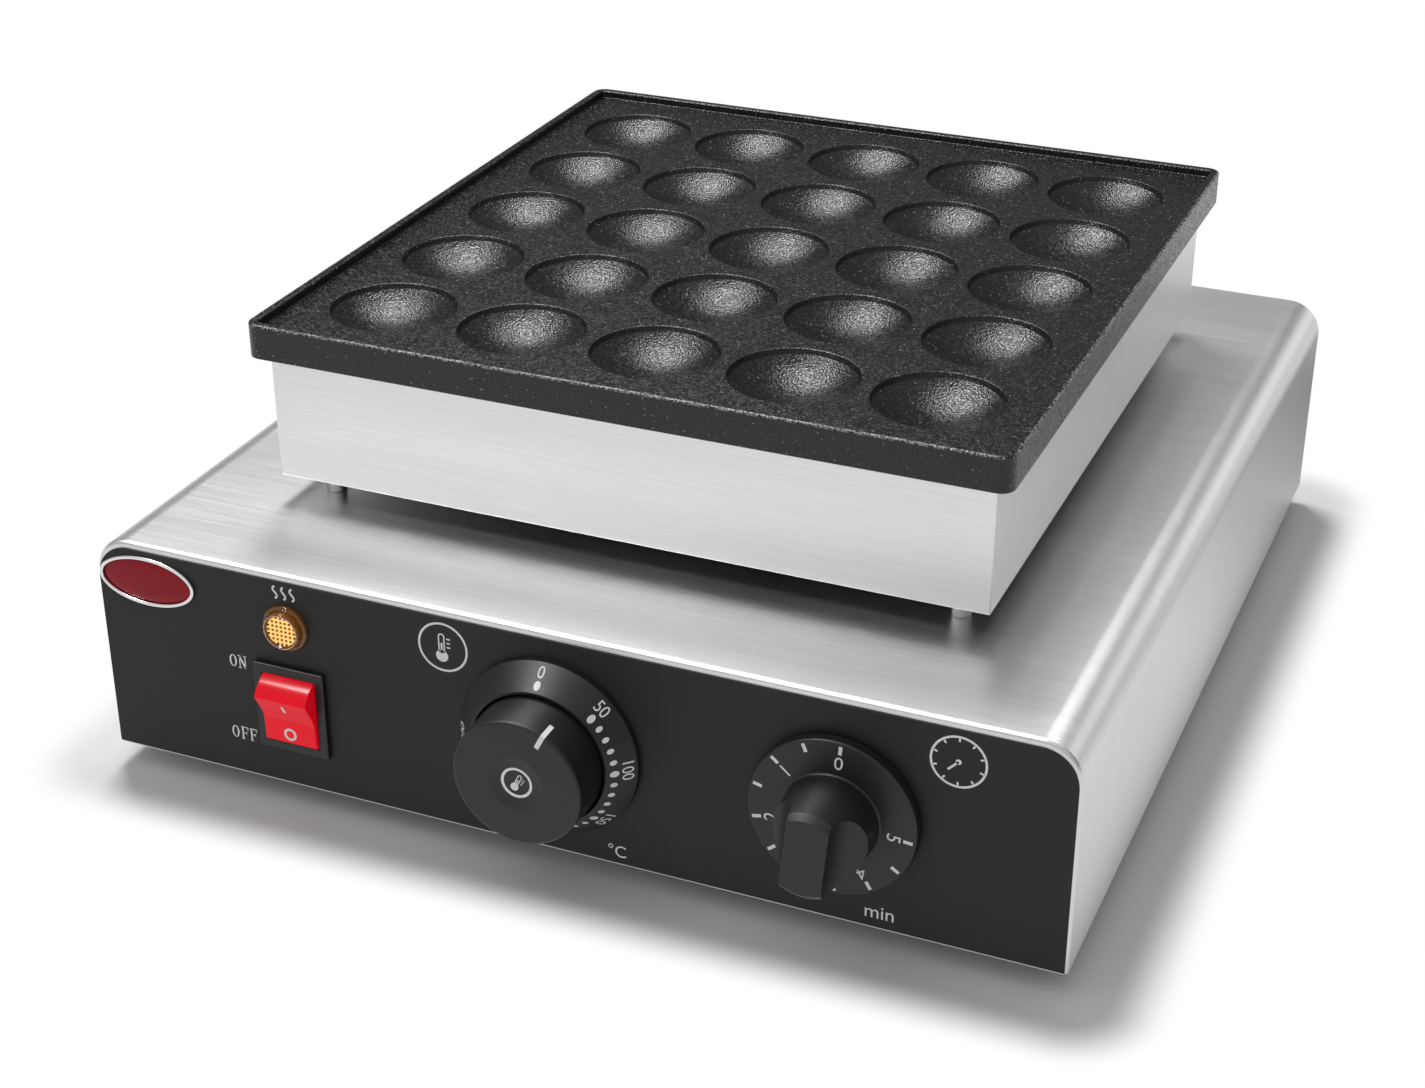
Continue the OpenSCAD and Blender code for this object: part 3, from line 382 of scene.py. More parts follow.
def lens_lattice():
    """Amber with painted shade: pale on the ridges of the lens and darkening to brown in its pits; depth runs
    along Y.
    """
    amber = Finish("lens_lattice", Coat_Weight=0.5, Emission_Strength=0.7)
    here = amber.node("ShaderNodeTexCoord", output="Object")
    depth = amber.node("ShaderNodeSeparateXYZ", None, {0: here}, output="Y")
    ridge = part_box("lamp_lens")[0].y + LATTICE_DROP * MM
    span = {"Value": depth, "From Min": ridge, "From Max": ridge + PIT_DEEP * MM}
    # Painted shade: the colour darkens with depth into the pits, and the glow darkens with it.
    pit_shade = amber.node("ShaderNodeMapRange", None, span)
    tint = amber.blend(pit_shade, (1.0, 0.58, 0.17), (0.07, 0.014, 0.002))
    amber.colour(tint)
    join(tint, amber.shader.inputs["Emission Color"])
    amber.roughness(0.12 + amber.noise(0.5) * 0.1)
    amber.bump(amber.noise(0.4) * 0.01)
    return amber.material


red_glow = {"Specular_IOR_Level": 0.22, "Emission_Color": (0.95, 0.0, 0.012, 1), "Emission_Strength": 0.25}
finishes = {
    "brushed_sheet": brushed_sheet,
    "satin_sheet": satin_sheet,
    "cast_plate": cast_plate,
    "black_fascia": black_fascia,
    "knob_black": knob_black,
    "switch_black": switch_black,
    "foot_rubber": foot_rubber,
    "black_nylon": black_nylon,
    "bright_steel": metal("bright_steel", grey(0.72), 0.12, 8),
    "zinc_steel": metal("zinc_steel", (0.62, 0.63, 0.62), 0.24, 3),
    "tube_steel": metal("tube_steel", (0.24, 0.23, 0.22), 0.42, 12),
    "reflector_sheet": metal("reflector_sheet", grey(0.78), 0.16, 30),
    "brass": metal("brass", (0.72, 0.5, 0.2), 0.22, 6),
    "badge_silver": metal("badge_silver", grey(0.78), 0.12, 5),
    "fibre_pad": tinted("fibre_pad", (0.82, 0.8, 0.74), 0.85, 4, 0.2),
    "rocker_red": tinted("rocker_red", (0.95, 0.002, 0.02), 0.12, 9, 0.002, **red_glow),
    "lens_amber": tinted("lens_amber", (1.0, 0.4, 0.05), 0.03, 5, 0.002, Transmission_Weight=0.8),
    "lens_lattice": lens_lattice(),
    "lamp_grey": tinted("lamp_grey", grey(0.25), 0.5, 6),
    "control_case": tinted("control_case", (0.5, 0.5, 0.46), 0.5, 12),
    "badge_red": tinted("badge_red", (0.34, 0.002, 0.012), 0.2, 8, 0.002, Specular_IOR_Level=0.2),
    "block_white": tinted("block_white", (0.86, 0.85, 0.8), 0.3, 9),
    "lead_red": tinted("lead_red", (0.45, 0.04, 0.03), 0.45, 9),
    "print_white": tinted("print_white", grey(0.95), 0.45, 3, 0.004),
}
for name, node in nodes.items():
    node.data.materials.clear()
    node.data.materials.append(finishes[slot_of[name]])
print(len(finishes), "finishes,", len(nodes), "nodes dressed")

# %% [markdown]
# The pieces are modelled as by hand: add a primitive, go into edit mode, select by place or normal, then
# extrude, inset, bevel or spin. These helpers carry the steps that come back on every piece.

# %% Helpers for modelling
ELEMENTS = {"VERT": "verts", "EDGE": "edges", "FACE": "faces"}
CREASE = math.radians(28)


def focus(piece):
    """Makes one piece the only selected one."""
    bpy.ops.object.select_all(action="DESELECT")
    bpy.context.view_layer.objects.active = piece
    piece.select_set(True)


def edit(piece):
    """Opens one piece in edit mode."""
    focus(piece)
    bpy.ops.object.mode_set(mode="EDIT")


def leave():
    bpy.ops.object.mode_set(mode="OBJECT")


def pick(kind, rule):
    """Selects, in edit mode, the vertices, edges or faces that fit a rule."""
    bpy.ops.mesh.select_mode(type=kind)
    bpy.ops.mesh.select_all(action="DESELECT")
    mesh = bmesh.from_edit_mesh(bpy.context.object.data)
    for element in getattr(mesh, ELEMENTS[kind]):
        if rule(element):
            element.select_set(True)
    bmesh.update_edit_mesh(bpy.context.object.data)


def mid(edge):
    return (edge.verts[0].co + edge.verts[1].co) / 2


def run(edge):
    return (edge.verts[1].co - edge.verts[0].co).normalized()


def is_corner(edge):
    """True on an edge where the surface really turns."""
    return edge.calc_face_angle(0) > CREASE


def near(value, target):
    return abs(value - target) < 0.01 * MM


def raise_by(offset):
    """Extrudes the selection by a vector in millimetres."""
    move = {"value": [c * MM for c in offset]}
    bpy.ops.mesh.extrude_region_move(TRANSFORM_OT_translate=move)


def modify(piece, kind, **settings):
    """Adds a modifier and applies it."""
    focus(piece)
    modifier = piece.modifiers.new(kind.lower(), kind)
    for key, value in settings.items():
        setattr(modifier, key, value)
    bpy.ops.object.modifier_apply(modifier=modifier.name)


def soften(piece, width, segments=3, angle=40):
    """Rounds every edge that turns by more than the angle."""
    limit = math.radians(angle)
    modify(piece, "BEVEL", width=width * MM, segments=segments, limit_method="ANGLE", angle_limit=limit)


def combine(piece, tool, operation):
    """Cuts the tool out of the piece, or adds it, and removes the tool."""
    modify(piece, "BOOLEAN", object=tool, operation=operation, solver="EXACT")
    bpy.data.objects.remove(tool)


def place(piece, matrix):
    """Moves a piece's mesh, so that its object stays at the origin."""
    piece.data.transform(matrix)
    piece.data.update()
    return piece


def joined(pieces):
    """Joins pieces into the first of them."""
    focus(pieces[0])
    for piece in pieces:
        piece.select_set(True)
    if len(pieces) > 1:
        bpy.ops.object.join()
    return pieces[0]


def copies(piece, matrices):
    """Copies a piece to each place, each with its own mesh, and joins the copies."""
    made = []
    for matrix in matrices:
        twin = piece.copy()
        twin.data = piece.data.copy()
        bpy.context.collection.objects.link(twin)
        made.append(place(twin, matrix))
    bpy.data.objects.remove(piece)
    return joined(made)


def hand_over(piece, name, body, slot, *replaced, angle=30):
    """Shades and names a piece, gives it its finish and body, and hides the nodes it stands for."""
    focus(piece)
    bpy.ops.object.shade_smooth_by_angle(angle=math.radians(angle))
    modify(piece, "WEIGHTED_NORMAL", keep_sharp=True)
    piece.name = name
    piece.data.name = name
    piece.data.materials.clear()
    piece.data.materials.append(finishes[slot])
    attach(piece, body)
    if replaced:
        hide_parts(*replaced)
    print(name, "has", len(piece.data.polygons), "faces and rides on", body)


# %% [markdown]
# Two makers cover most shapes here: a block that fills a box, and a turned piece. A turned piece starts as
# a plane that is merged to one point; the point is extruded along the profile, and the profile is spun.

# %% Blocks and turned pieces


def block(low, high):
    """A cube stretched to the box from low to high, in metres."""
    low = Vector(low)
    high = Vector(high)
    bpy.ops.object.select_all(action="DESELECT")
    bpy.ops.mesh.primitive_cube_add(size=1, location=(low + high) / 2, scale=high - low)
    bpy.ops.object.transform_apply(location=True, rotation=True, scale=True)
    return bpy.context.object


def rounded(corners, steps=5):
    """Corner points (x, y, radius) in millimetres; each corner with a radius becomes an arc."""
    path = []
    for index, (x, y, radius) in enumerate(corners):
        here = Vector((x, y))
        if not radius:
            path.append(here)
            continue
        back = (Vector(corners[index - 1][:2]) - here).normalized()
        ahead = (Vector(corners[(index + 1) % len(corners)][:2]) - here).normalized()
        half = back.angle(ahead) / 2
        middle = here + (back + ahead).normalized() * (radius / math.sin(half))
        reach = radius / math.tan(half)
        first = (here + back * reach - middle).normalized()
        last = (here + ahead * reach - middle).normalized()
        path += [middle + radius * first.slerp(last, step / steps) for step in range(steps + 1)]
    return path


def drawn(path):
    """Draws a path of points by extruding one point along it, and stays in edit mode."""
    bpy.ops.object.select_all(action="DESELECT")
    bpy.ops.mesh.primitive_plane_add(size=MM)
    bpy.ops.object.mode_set(mode="EDIT")
    bpy.ops.mesh.select_mode(type="VERT")
    bpy.ops.mesh.select_all(action="SELECT")
    bpy.ops.mesh.merge(type="CENTER")
    bpy.ops.transform.translate(value=[c * MM for c in path[0]])
    for start, end in zip(path, path[1:]):
        raise_by(Vector(end) - Vector(start))


def turned(profile, steps=64, closed=False):
    """Spins a profile of (radius, height) points about Z; closed joins its last point to its first."""
    path = [(radius, 0, level) for radius, level in profile]
    if closed:
        path.append(path[0])
    drawn(path)
    bpy.ops.mesh.select_all(action="SELECT")
    bpy.ops.mesh.spin(steps=steps, angle=math.tau, center=(0, 0, 0), axis=(0, 0, 1))
    bpy.ops.mesh.select_all(action="SELECT")
    bpy.ops.mesh.remove_doubles(threshold=0.002 * MM)
    bpy.ops.mesh.normals_make_consistent(inside=False)
    leave()
    return bpy.context.object


def rod(radius, low, high, steps=64):
    """A plain cylinder on Z between two levels, to cut with."""
    return turned([(0, low), (radius, low), (radius, high), (0, high)], steps)


def plate_of(outline, thick):
    """Fills a flat outline of (x, y) points and extrudes it along Z."""
    drawn([(x, y, 0) for x, y in outline])
    bpy.ops.mesh.select_all(action="SELECT")
    bpy.ops.mesh.edge_face_add()
    raise_by((0, 0, thick))
    bpy.ops.mesh.select_all(action="SELECT")
    bpy.ops.mesh.normals_make_consistent(inside=False)
    leave()
    return bpy.context.object


print("helpers ready")

# %% [markdown]
# Where the separate solids of one CAD node stand, such as its four feet, is read from the node: vertices
# that are joined by faces belong to one solid. The node itself stays as it is.

# %% Places read from the frame


def solids_of(node):
    """The box of each separate solid in a node."""
    mesh = bmesh.new()
    mesh.from_mesh(nodes[node].data)
    bmesh.ops.remove_doubles(mesh, verts=mesh.verts, dist=0.0001 * MM)
    left = set(mesh.verts)
    boxes = []
    while left:
        group = [left.pop()]
        for vertex in group:
            for edge in vertex.link_edges:
                other = edge.other_vert(vertex)
                if other in left:
                    left.remove(other)
                    group.append(other)
        corners = [[vertex.co[axis] for vertex in group] for axis in range(3)]
        boxes.append((Vector(map(min, corners)), Vector(map(max, corners))))
    mesh.free()
    return sorted(boxes, key=lambda box: tuple(box[0]))


def middle_of(node):
    low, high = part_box(node)
    return (low + high) / 2


face_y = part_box("fascia")[0].y
UPRIGHT = Matrix.Rotation(math.radians(90), 4, "X")


def on_panel(x, z, y=face_y, turn=0.0):
    """A place on the panel: X stays right, Y turns up and Z comes out; turn is clockwise, in degrees."""
    return Matrix.Translation((x, y, z)) @ UPRIGHT @ Matrix.Rotation(-math.radians(turn), 4, "Z")


print("posts at", [[round(c / MM, 1) for c in low] for low, high in solids_of("spacer_posts")])

# %% [markdown]
# The baking plate is one casting. The CAD node could stay, but its edges are sharp, and a casting's never
# are. So it starts as a block: the heel is inset and pushed down, the four upright edges get a wide bevel,
# and the top is inset and sunk to leave the rim. The rim's edges and the field's edge are then rounded.

# %% Baking plate
PLATE_SIDE = 12
RIM_WIDE = 3.4
RIM_HIGH = 3
HEEL_INSET = 13
PLATE_CORNER = 5
RIM_ROUND = 0.7
FIELD_ROUND = 0.6

plate_low, plate_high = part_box("baking_plate")
seat_z = plate_high.z - PLATE_SIDE * MM
field_z = plate_high.z - RIM_HIGH * MM
heel_high = (seat_z - plate_low.z) / MM
plate = block((plate_low.x, plate_low.y, seat_z), plate_high)
edit(plate)
pick("FACE", lambda face: face.normal.z < -0.9)
bpy.ops.mesh.inset(thickness=HEEL_INSET * MM)
raise_by((0, 0, -heel_high))
pick("EDGE", lambda edge: abs(run(edge).z) > 0.9 and near(abs(mid(edge).x), plate_high.x))
bpy.ops.mesh.bevel(offset=PLATE_CORNER * MM, segments=6)
pick("FACE", lambda face: face.normal.z > 0.9)
bpy.ops.mesh.inset(thickness=RIM_WIDE * MM)
raise_by((0, 0, -RIM_HIGH))
pick("EDGE", lambda edge: near(mid(edge).z, plate_high.z) and is_corner(edge))
bpy.ops.mesh.bevel(offset=RIM_ROUND * MM, segments=4)
pick("EDGE", lambda edge: near(mid(edge).z, field_z) and is_corner(edge))
bpy.ops.mesh.bevel(offset=FIELD_ROUND * MM, segments=3)
leave()
print("plate block has", len(plate.data.polygons), "faces")

# %% [markdown]
# The 25 dishes are alike. Each could be inset and sunk by hand, but one cutter, turned as on a lathe, gives
# them all the same shallow bowl, steep wall and tight lip. Its copies stand at the middles of the record's
# openings, and one boolean takes them all out of the plate.

# %% Dishes
DISH_DEEP = 8
BOWL_EDGE = 20.8
WALL_HIGH = 1.8
LIP_RADIUS = 21.55
CUTTER_R = 23
CUTTER_TOP = 2
BOWL_STEPS = 12

bowl_sag = DISH_DEEP - WALL_HIGH
bowl_radius = (BOWL_EDGE ** 2 + bowl_sag ** 2) / (2 * bowl_sag)
bowl_turn = math.asin(BOWL_EDGE / bowl_radius)
dish_profile = []
for step in range(BOWL_STEPS):
    angle = bowl_turn * step / BOWL_STEPS
    dish_profile.append((bowl_radius * math.sin(angle), bowl_radius * (1 - math.cos(angle)) - DISH_DEEP))
lip = [(19, -2.85, 0), (BOWL_EDGE, -WALL_HIGH, 0.5), (LIP_RADIUS, -0.12, 0.4), (CUTTER_R, 0.26, 0)]
dish_profile += [tuple(point) for point in rounded(lip)[1:]]
dish_profile += [(CUTTER_R, CUTTER_TOP), (0, CUTTER_TOP)]
cutter = turned(dish_profile)
dish_places = []
for opening in frame["record"]["physics"]["openings"]:
    low, high = opening["box_m"]
    dish_places.append(Matrix.Translation(((low[0] + high[0]) / 2, (low[1] + high[1]) / 2, field_z)))
combine(plate, copies(cutter, dish_places), "DIFFERENCE")
hand_over(plate, "plate_casting", "base", "cast_plate", "baking_plate", angle=35)

# %% [markdown]
# The base is one folded sheet. A block gets its two long top edges bevelled as wide as the bend, loses the
# ends and the bottom, gets its bottom returns by extruding two edges, and becomes sheet by Solidify. A
# small bevel then dulls the cut edges, which draws the bright line round the panel. Two of the soft boxes
# are linked to this sheet alone: they would also wash out the black plate, and they are only there to be
# mirrored in the steel.

# %% Base shell
BEND = 13
SHEET = 1
RETURN_WIDE = 10
FRONT_FLANGE = 5
FRONT_FOLD = 1.5
FRONT_PROUD = 0.05
EDGE_ROUND = 0.3

shell_low, shell_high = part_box("base_shell")
front_plane = shell_low.y - FRONT_PROUD * MM


def is_bottom_edge(edge, side):
    """True on the long bottom edge of one side of the base."""
    return near(mid(edge).z, shell_low.z) and mid(edge).x * side > 0 and abs(run(edge).y) > 0.9


shell = block((shell_low.x, front_plane, shell_low.z), shell_high)
edit(shell)
pick("EDGE", lambda edge: abs(run(edge).y) > 0.9 and mid(edge).z > shell_low.z + BEND * MM)
bpy.ops.mesh.bevel(offset=BEND * MM, segments=20)
pick("FACE", lambda face: face.normal.y > 0.9 or face.normal.z < -0.9)
bpy.ops.mesh.delete(type="FACE")
pick("FACE", lambda face: face.normal.y < -0.9)
bpy.ops.mesh.inset(thickness=FRONT_FLANGE * MM)
bpy.ops.mesh.delete(type="FACE")
pick("EDGE", lambda edge: near(mid(edge).y, front_plane) and is_corner(edge))
bpy.ops.mesh.bevel(offset=FRONT_FOLD * MM, segments=5)
for side in (-1, 1):
    pick("EDGE", lambda edge: is_bottom_edge(edge, side))
    raise_by((-side * RETURN_WIDE, 0, 0))
bpy.ops.mesh.select_all(action="SELECT")
bpy.ops.mesh.normals_make_consistent(inside=False)
leave()
top_up = max(shell.data.polygons, key=lambda face: face.area).normal.z
print("shell sheet has", len(shell.data.polygons), "faces, its top faces", round(top_up, 2))
modify(shell, "SOLIDIFY", thickness=SHEET * MM, offset=-1, use_even_offset=True)
soften(shell, EDGE_ROUND, 3, 60)
hand_over(shell, "base_sheet", "base", "brushed_sheet", "base_shell", angle=40)
sheet_alone = bpy.data.collections.new("sheet_alone")
sheet_alone.objects.link(shell)
for lamp_name in ("top_box", "bend_box"):
    bpy.data.objects[lamp_name].light_linking.receiver_collection = sheet_alone

# %% [markdown]
# The heater box is a folded tray with a narrow lip. It could be folded from a flat sheet, but its folds are
# tight, so a block does as well: its top is opened by an inset, which leaves the lip, and Solidify makes it
# sheet.

# %% Heater box
BOX_LIP = 4
FOLD_ROUND = 0.7

box_low, box_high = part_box("heater_box")
tray = block(box_low, box_high)
edit(tray)
pick("FACE", lambda face: face.normal.z > 0.9)
bpy.ops.mesh.inset(thickness=BOX_LIP * MM)
bpy.ops.mesh.delete(type="FACE")
leave()
modify(tray, "SOLIDIFY", thickness=SHEET * MM, offset=-1, use_even_offset=True)
soften(tray, FOLD_ROUND / 2, 3, 60)
hand_over(tray, "heater_tray", "base", "satin_sheet", "heater_box", angle=40)

# %% [markdown]
# Posts and feet are turned parts: bright steel sleeves round the tie rods, and rubber feet with a recess
# for their screws. One of each is modelled round the axis and copied to the places in the frame, as four
# spins would only repeat the same steps.

# %% Posts and feet


def standing_places(node):
    """A place at the bottom middle of each solid of a node."""
    return [Matrix.Translation(((a.x + b.x) / 2, (a.y + b.y) / 2, a.z)) for a, b in solids_of(node)]


post_low, post_high = solids_of("spacer_posts")[0]
post_r = (post_high.x - post_low.x) / 2 / MM
post_h = (post_high.z - post_low.z) / MM
POST_BORE = 2.2
CHAMFER = 0.4
post_corners = [(POST_BORE, 0, 0), (post_r, 0, CHAMFER), (post_r, post_h, CHAMFER), (POST_BORE, post_h, 0)]
post = turned(rounded(post_corners, 3), 48, closed=True)
posts = copies(post, standing_places("spacer_posts"))
hand_over(posts, "bright_posts", "base", "bright_steel", "spacer_posts")

FOOT_BASE_R = 11.5
FOOT_TOP_R = 13
FOOT_RECESS_R = 6
FOOT_RECESS_H = 4.5
FOOT_BORE_R = 2.3
foot_low, foot_high = solids_of("rubber_feet")[0]
foot_h = (foot_high.z - foot_low.z) / MM
foot_corners = [
    (FOOT_RECESS_R, 0, 0.5),
    (FOOT_BASE_R, 0, 1.2),
    (FOOT_TOP_R, foot_h, 0.8),
    (FOOT_BORE_R, foot_h, 0),
    (FOOT_BORE_R, FOOT_RECESS_H, 0),
    (FOOT_RECESS_R, FOOT_RECESS_H, 0),
]
foot = turned(rounded(foot_corners, 4), 48, closed=True)
feet = copies(foot, standing_places("rubber_feet"))
hand_over(feet, "moulded_feet", "base", "foot_rubber", "rubber_feet")

# %% [markdown]
# The rear and bottom screws are pan heads with a cross recess: a turned head and shank, and two crossed
# blocks taken out of it. A thread wouldn't show, because the panels hide the shanks, so there is none.

# %% Screws
HEAD_R = 3.8
HEAD_H = 2.2
SHANK_R = 1.75
CROSS_LONG = 2.0
CROSS_WIDE = 0.45
CROSS_DEEP = 1.1


def cross_screw(length):
    """A screw along Z with its head up, seated at zero."""
    corners = [(0, HEAD_H, 0), (HEAD_R * 0.62, HEAD_H, 2.0), (HEAD_R, 0.6, 0.4), (HEAD_R, 0, 0)]
    corners += [(SHANK_R, 0, 0), (SHANK_R, 0.8 - length, 0), (SHANK_R * 0.5, -length, 0), (0, -length, 0)]
    screw = turned(rounded(corners, 4), 40)
    floor_z = (HEAD_H - CROSS_DEEP) * MM
    top_z = (HEAD_H + 1) * MM
    long = CROSS_LONG * MM
    wide = CROSS_WIDE * MM
    cross = block((-long, -wide, floor_z), (long, wide, top_z))
    combine(cross, block((-wide, -long, floor_z), (wide, long, top_z)), "UNION")
    combine(screw, cross, "DIFFERENCE")
    return screw


def screw_set(node, name, head_way):
    """Copies of one screw where the solids of a node are; head_way points out of the head."""
    boxes = solids_of(node)
    way = Vector(head_way)
    turn = way.to_track_quat("Z", "Y").to_matrix().to_4x4()
    axis = max(range(3), key=lambda index: abs(way[index]))
    length = (boxes[0][1][axis] - boxes[0][0][axis]) / MM - HEAD_H
    spots = []
    for low, high in boxes:
        spot = (low + high) / 2
        spot[axis] = (high[axis] if way[axis] > 0 else low[axis]) - way[axis] * HEAD_H * MM
        spots.append(Matrix.Translation(spot) @ turn)
    hand_over(copies(cross_screw(length), spots), name, "base", "zinc_steel", node)


screw_set("rear_screws", "rear_pan_screws", (0, 1, 0))
screw_set("bottom_screws", "bottom_pan_screws", (0, 0, -1))

# %% [markdown]
# The gland is a moulded hexagon with a domed cap and a tail through the rear panel, and a lead would pass
# through its bore. The hexagon is a filled outline; cap and tail are turned, because they are round.

# %% Cord gland
HEX_ACROSS = 21
HEX_THICK = 4
DOME_R = 9
DOME_TIP_R = 6.6
DOME_ROOT = 2
DOME_SHOULDER = 4.5
TAIL_INSET = 3.2
GLAND_BORE_R = 4

gland_low, gland_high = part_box("cord_gland")
panel_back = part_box("rear_panel")[1].y
gland_out = (gland_high.y - panel_back) / MM
gland_in = (panel_back - gland_low.y) / MM
hexagon = []
for k in range(6):
    angle = k * math.tau / 6
    hexagon.append(Vector((math.cos(angle), math.sin(angle))) * HEX_ACROSS / 2)
gland = plate_of(hexagon, HEX_THICK)
soften(gland, 0.7, 3)
dome_corners = [
    (GLAND_BORE_R, HEX_THICK - DOME_ROOT, 0),
    (DOME_R, HEX_THICK - DOME_ROOT, 0),
    (DOME_R, HEX_THICK + DOME_SHOULDER, 3),
    (DOME_TIP_R, gland_out, 1),
    (GLAND_BORE_R, gland_out, 0.6),
]
dome = turned(rounded(dome_corners), 64, closed=True)
tail_r = min(gland_high.x - gland_low.x, HEX_ACROSS * MM) / MM / 2 - TAIL_INSET
tail_corners = [(GLAND_BORE_R, -gland_in, 0), (tail_r, -gland_in, 0.5), (tail_r, 1, 0), (GLAND_BORE_R, 1, 0)]
tail = turned(rounded(tail_corners), 48, closed=True)
combine(gland, rod(GLAND_BORE_R, -1, HEX_THICK + 1), "DIFFERENCE")
gland = joined([gland, dome, tail])
gland_middle = middle_of("cord_gland")
gland_foot = Matrix.Translation((gland_middle.x, panel_back, gland_middle.z))
place(gland, gland_foot @ Matrix.Rotation(-math.pi / 2, 4, "X"))
hand_over(gland, "moulded_gland", "base", "black_nylon", "cord_gland")

# %% [markdown]
# The switch has a moulded frame with bevelled edges. A plain rectangular hole would leave a gap at the
# rocker's ends, so the frame is hollowed by a cylinder about the rocker's own axis, and the rocker swings
# free in it.

# %% Switch frame
CAVITY_R = 14.35
CAVITY_WIDE = 20.3
FLANGE_THICK = 2
WELL_SIDE = 2.35
WELL_END = 1.35
WELL_OVERLAP = 0.2

joints = {joint["name"]: joint for joint in frame["joints"]}
switch_axis = Vector(joints["rocker_tilt"]["pos_m"])
switch_low, switch_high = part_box("switch_housing")
flange_back = switch_low.y + FLANGE_THICK * MM
frame_plate = block(switch_low, (switch_high.x, flange_back, switch_high.z))
soften(frame_plate, 0.55, 3)
well_low = (switch_low.x + WELL_SIDE * MM, flange_back - WELL_OVERLAP * MM, switch_low.z + WELL_END * MM)
well_high = (switch_high.x - WELL_SIDE * MM, switch_high.y, switch_high.z - WELL_END * MM)
combine(frame_plate, block(well_low, well_high), "UNION")
cavity = rod(CAVITY_R, -CAVITY_WIDE / 2, CAVITY_WIDE / 2, 96)
place(cavity, Matrix.Translation(switch_axis) @ Matrix.Rotation(math.radians(90), 4, "Y"))
combine(frame_plate, cavity, "DIFFERENCE")
hand_over(frame_plate, "switch_frame", "base", "switch_black", "switch_housing")

# %% [markdown]
# The rocker is a red moulding with two slopes that meet in a dip. A block with moved edges would give the
# slopes, but its ends must be round about the pivot, so its side view is drawn as an outline, pushed to its
# width and rounded.

# %% Rocker
ROCKER_R = 14
ROCKER_WIDE = 19.6
ROCKER_REST = 15
SLOPE = 0.24
DIP = 7.8
DIP_ROUND = 0.32
DIP_CURVE = 0.75
BACK = 3
ARC_STEPS = 8

lean = SLOPE * DIP
spread = 1 + SLOPE ** 2
crest_u = (math.sqrt(lean ** 2 - spread * (DIP ** 2 - ROCKER_R ** 2)) - lean) / spread
crest_angle = math.acos(crest_u / ROCKER_R)
back_angle = -math.asin(BACK / ROCKER_R)
half_outline = []
for step in range(ARC_STEPS + 1):
    angle = back_angle + (crest_angle - back_angle) * step / ARC_STEPS
    half_outline.append((ROCKER_R * math.cos(angle), ROCKER_R * math.sin(angle)))
dip_arc = [(u, DIP + DIP_ROUND + (SLOPE * u) ** 2 * DIP_CURVE) for u in (1.4, 0.7, 0, -0.7, -1.4)]
outline = half_outline + dip_arc + [(-u, v) for u, v in reversed(half_outline)]
rocker = plate_of(outline, ROCKER_WIDE)
soften(rocker, 0.5, 3, 30)
across = Matrix(((0, 0, 1, -ROCKER_WIDE / 2 * MM), (1, 0, 0, 0), (0, 1, 0, 0), (0, 0, 0, 1)))
rocker_place = Matrix.Translation(switch_axis) @ UPRIGHT @ Matrix.Rotation(math.radians(ROCKER_REST), 4, "X")
place(rocker, rocker_place @ across)
hand_over(rocker, "red_rocker", "rocker_body", "rocker_red", "rocker")

# %% [markdown]
# The lamp has a turned lens ring and, inside, a lattice that scatters its light: a grid whose faces are
# inset one by one and pushed in, so that ridges stay between the pits, trimmed to a round.

# %% Lamp
LENS_R = 8.2
LENS_FLANGE = 1.5
LENS_OUT = 4
WINDOW_R = 5.4
PITS = 7
PIT_PITCH = 1.6
RIDGE_WIDE = 0.42
PIT_SLOPE = 0.1
LATTICE_THICK = 1.6
WINDOW_GAP = 0.05

lamp_middle = middle_of("lamp_lens")
lens_corners = [
    (0, 1.2, 0),
    (WINDOW_R, 1.2, 0),
    (WINDOW_R, 3.2, 0),
    (WINDOW_R + 0.5, LENS_OUT, 0.4),
    (6.7, LENS_OUT, 0.8),
    (7.2, LENS_FLANGE, 0.3),
    (LENS_R, LENS_FLANGE, 0.5),
    (LENS_R, 0, 0),
    (0, 0, 0),
]
lens = turned([tuple(point) for point in rounded(lens_corners)], 64)
bpy.ops.object.select_all(action="DESELECT")
bpy.ops.mesh.primitive_grid_add(x_subdivisions=PITS, y_subdivisions=PITS, size=PITS * PIT_PITCH * MM)
pits = bpy.context.object
edit(pits)
bpy.ops.mesh.select_all(action="SELECT")
raise_by((0, 0, LATTICE_THICK))
pick("FACE", lambda face: face.normal.z > 0.9)
bpy.ops.mesh.inset(thickness=RIDGE_WIDE / 2 * MM, use_individual=True)
bpy.ops.mesh.inset(thickness=PIT_SLOPE * MM, use_individual=True)
bpy.ops.transform.translate(value=(0, 0, -PIT_DEEP * MM))
bpy.ops.mesh.select_all(action="SELECT")
bpy.ops.mesh.normals_make_consistent(inside=False)
leave()
place(pits, Matrix.Translation((0, 0, (LENS_OUT - LATTICE_DROP - LATTICE_THICK) * MM)))
combine(pits, rod(WINDOW_R - WINDOW_GAP, -1, 6), "INTERSECT")
for piece in (lens, pits):
    place(piece, on_panel(lamp_middle.x, lamp_middle.z))
hand_over(lens, "lens_ring", "base", "lens_amber", "lamp_lens")
hand_over(pits, "lens_face", "base", "lens_lattice", angle=5)

# %% [markdown]
# The scale ring is a cone with a low upright edge, so that its figures can be read from above. Ring and
# knob are both turned. The knob is hollow, as a moulded cap is, with a hub for its shaft and a shallow
# hollow in its face.

# %% Temperature ring and knob
RING_HOLE_R = 23.2
RING_FRONT_R = 24.2
RING_EDGE = 2.2
POINTER_TURN = 27
KNOB_ROOT_R = 22.6
KNOB_FACE_R = 22.1
KNOB_ROUND = 1.1
KNOB_WALL = 2.4
KNOB_SKIN = 4.5
HUB_R = 5.5
HUB_START = 3.4
SHAFT_R = 3.05
RECESS_R = 9.5
RECESS_DEEP = 1.2
RECESS_STEPS = 6

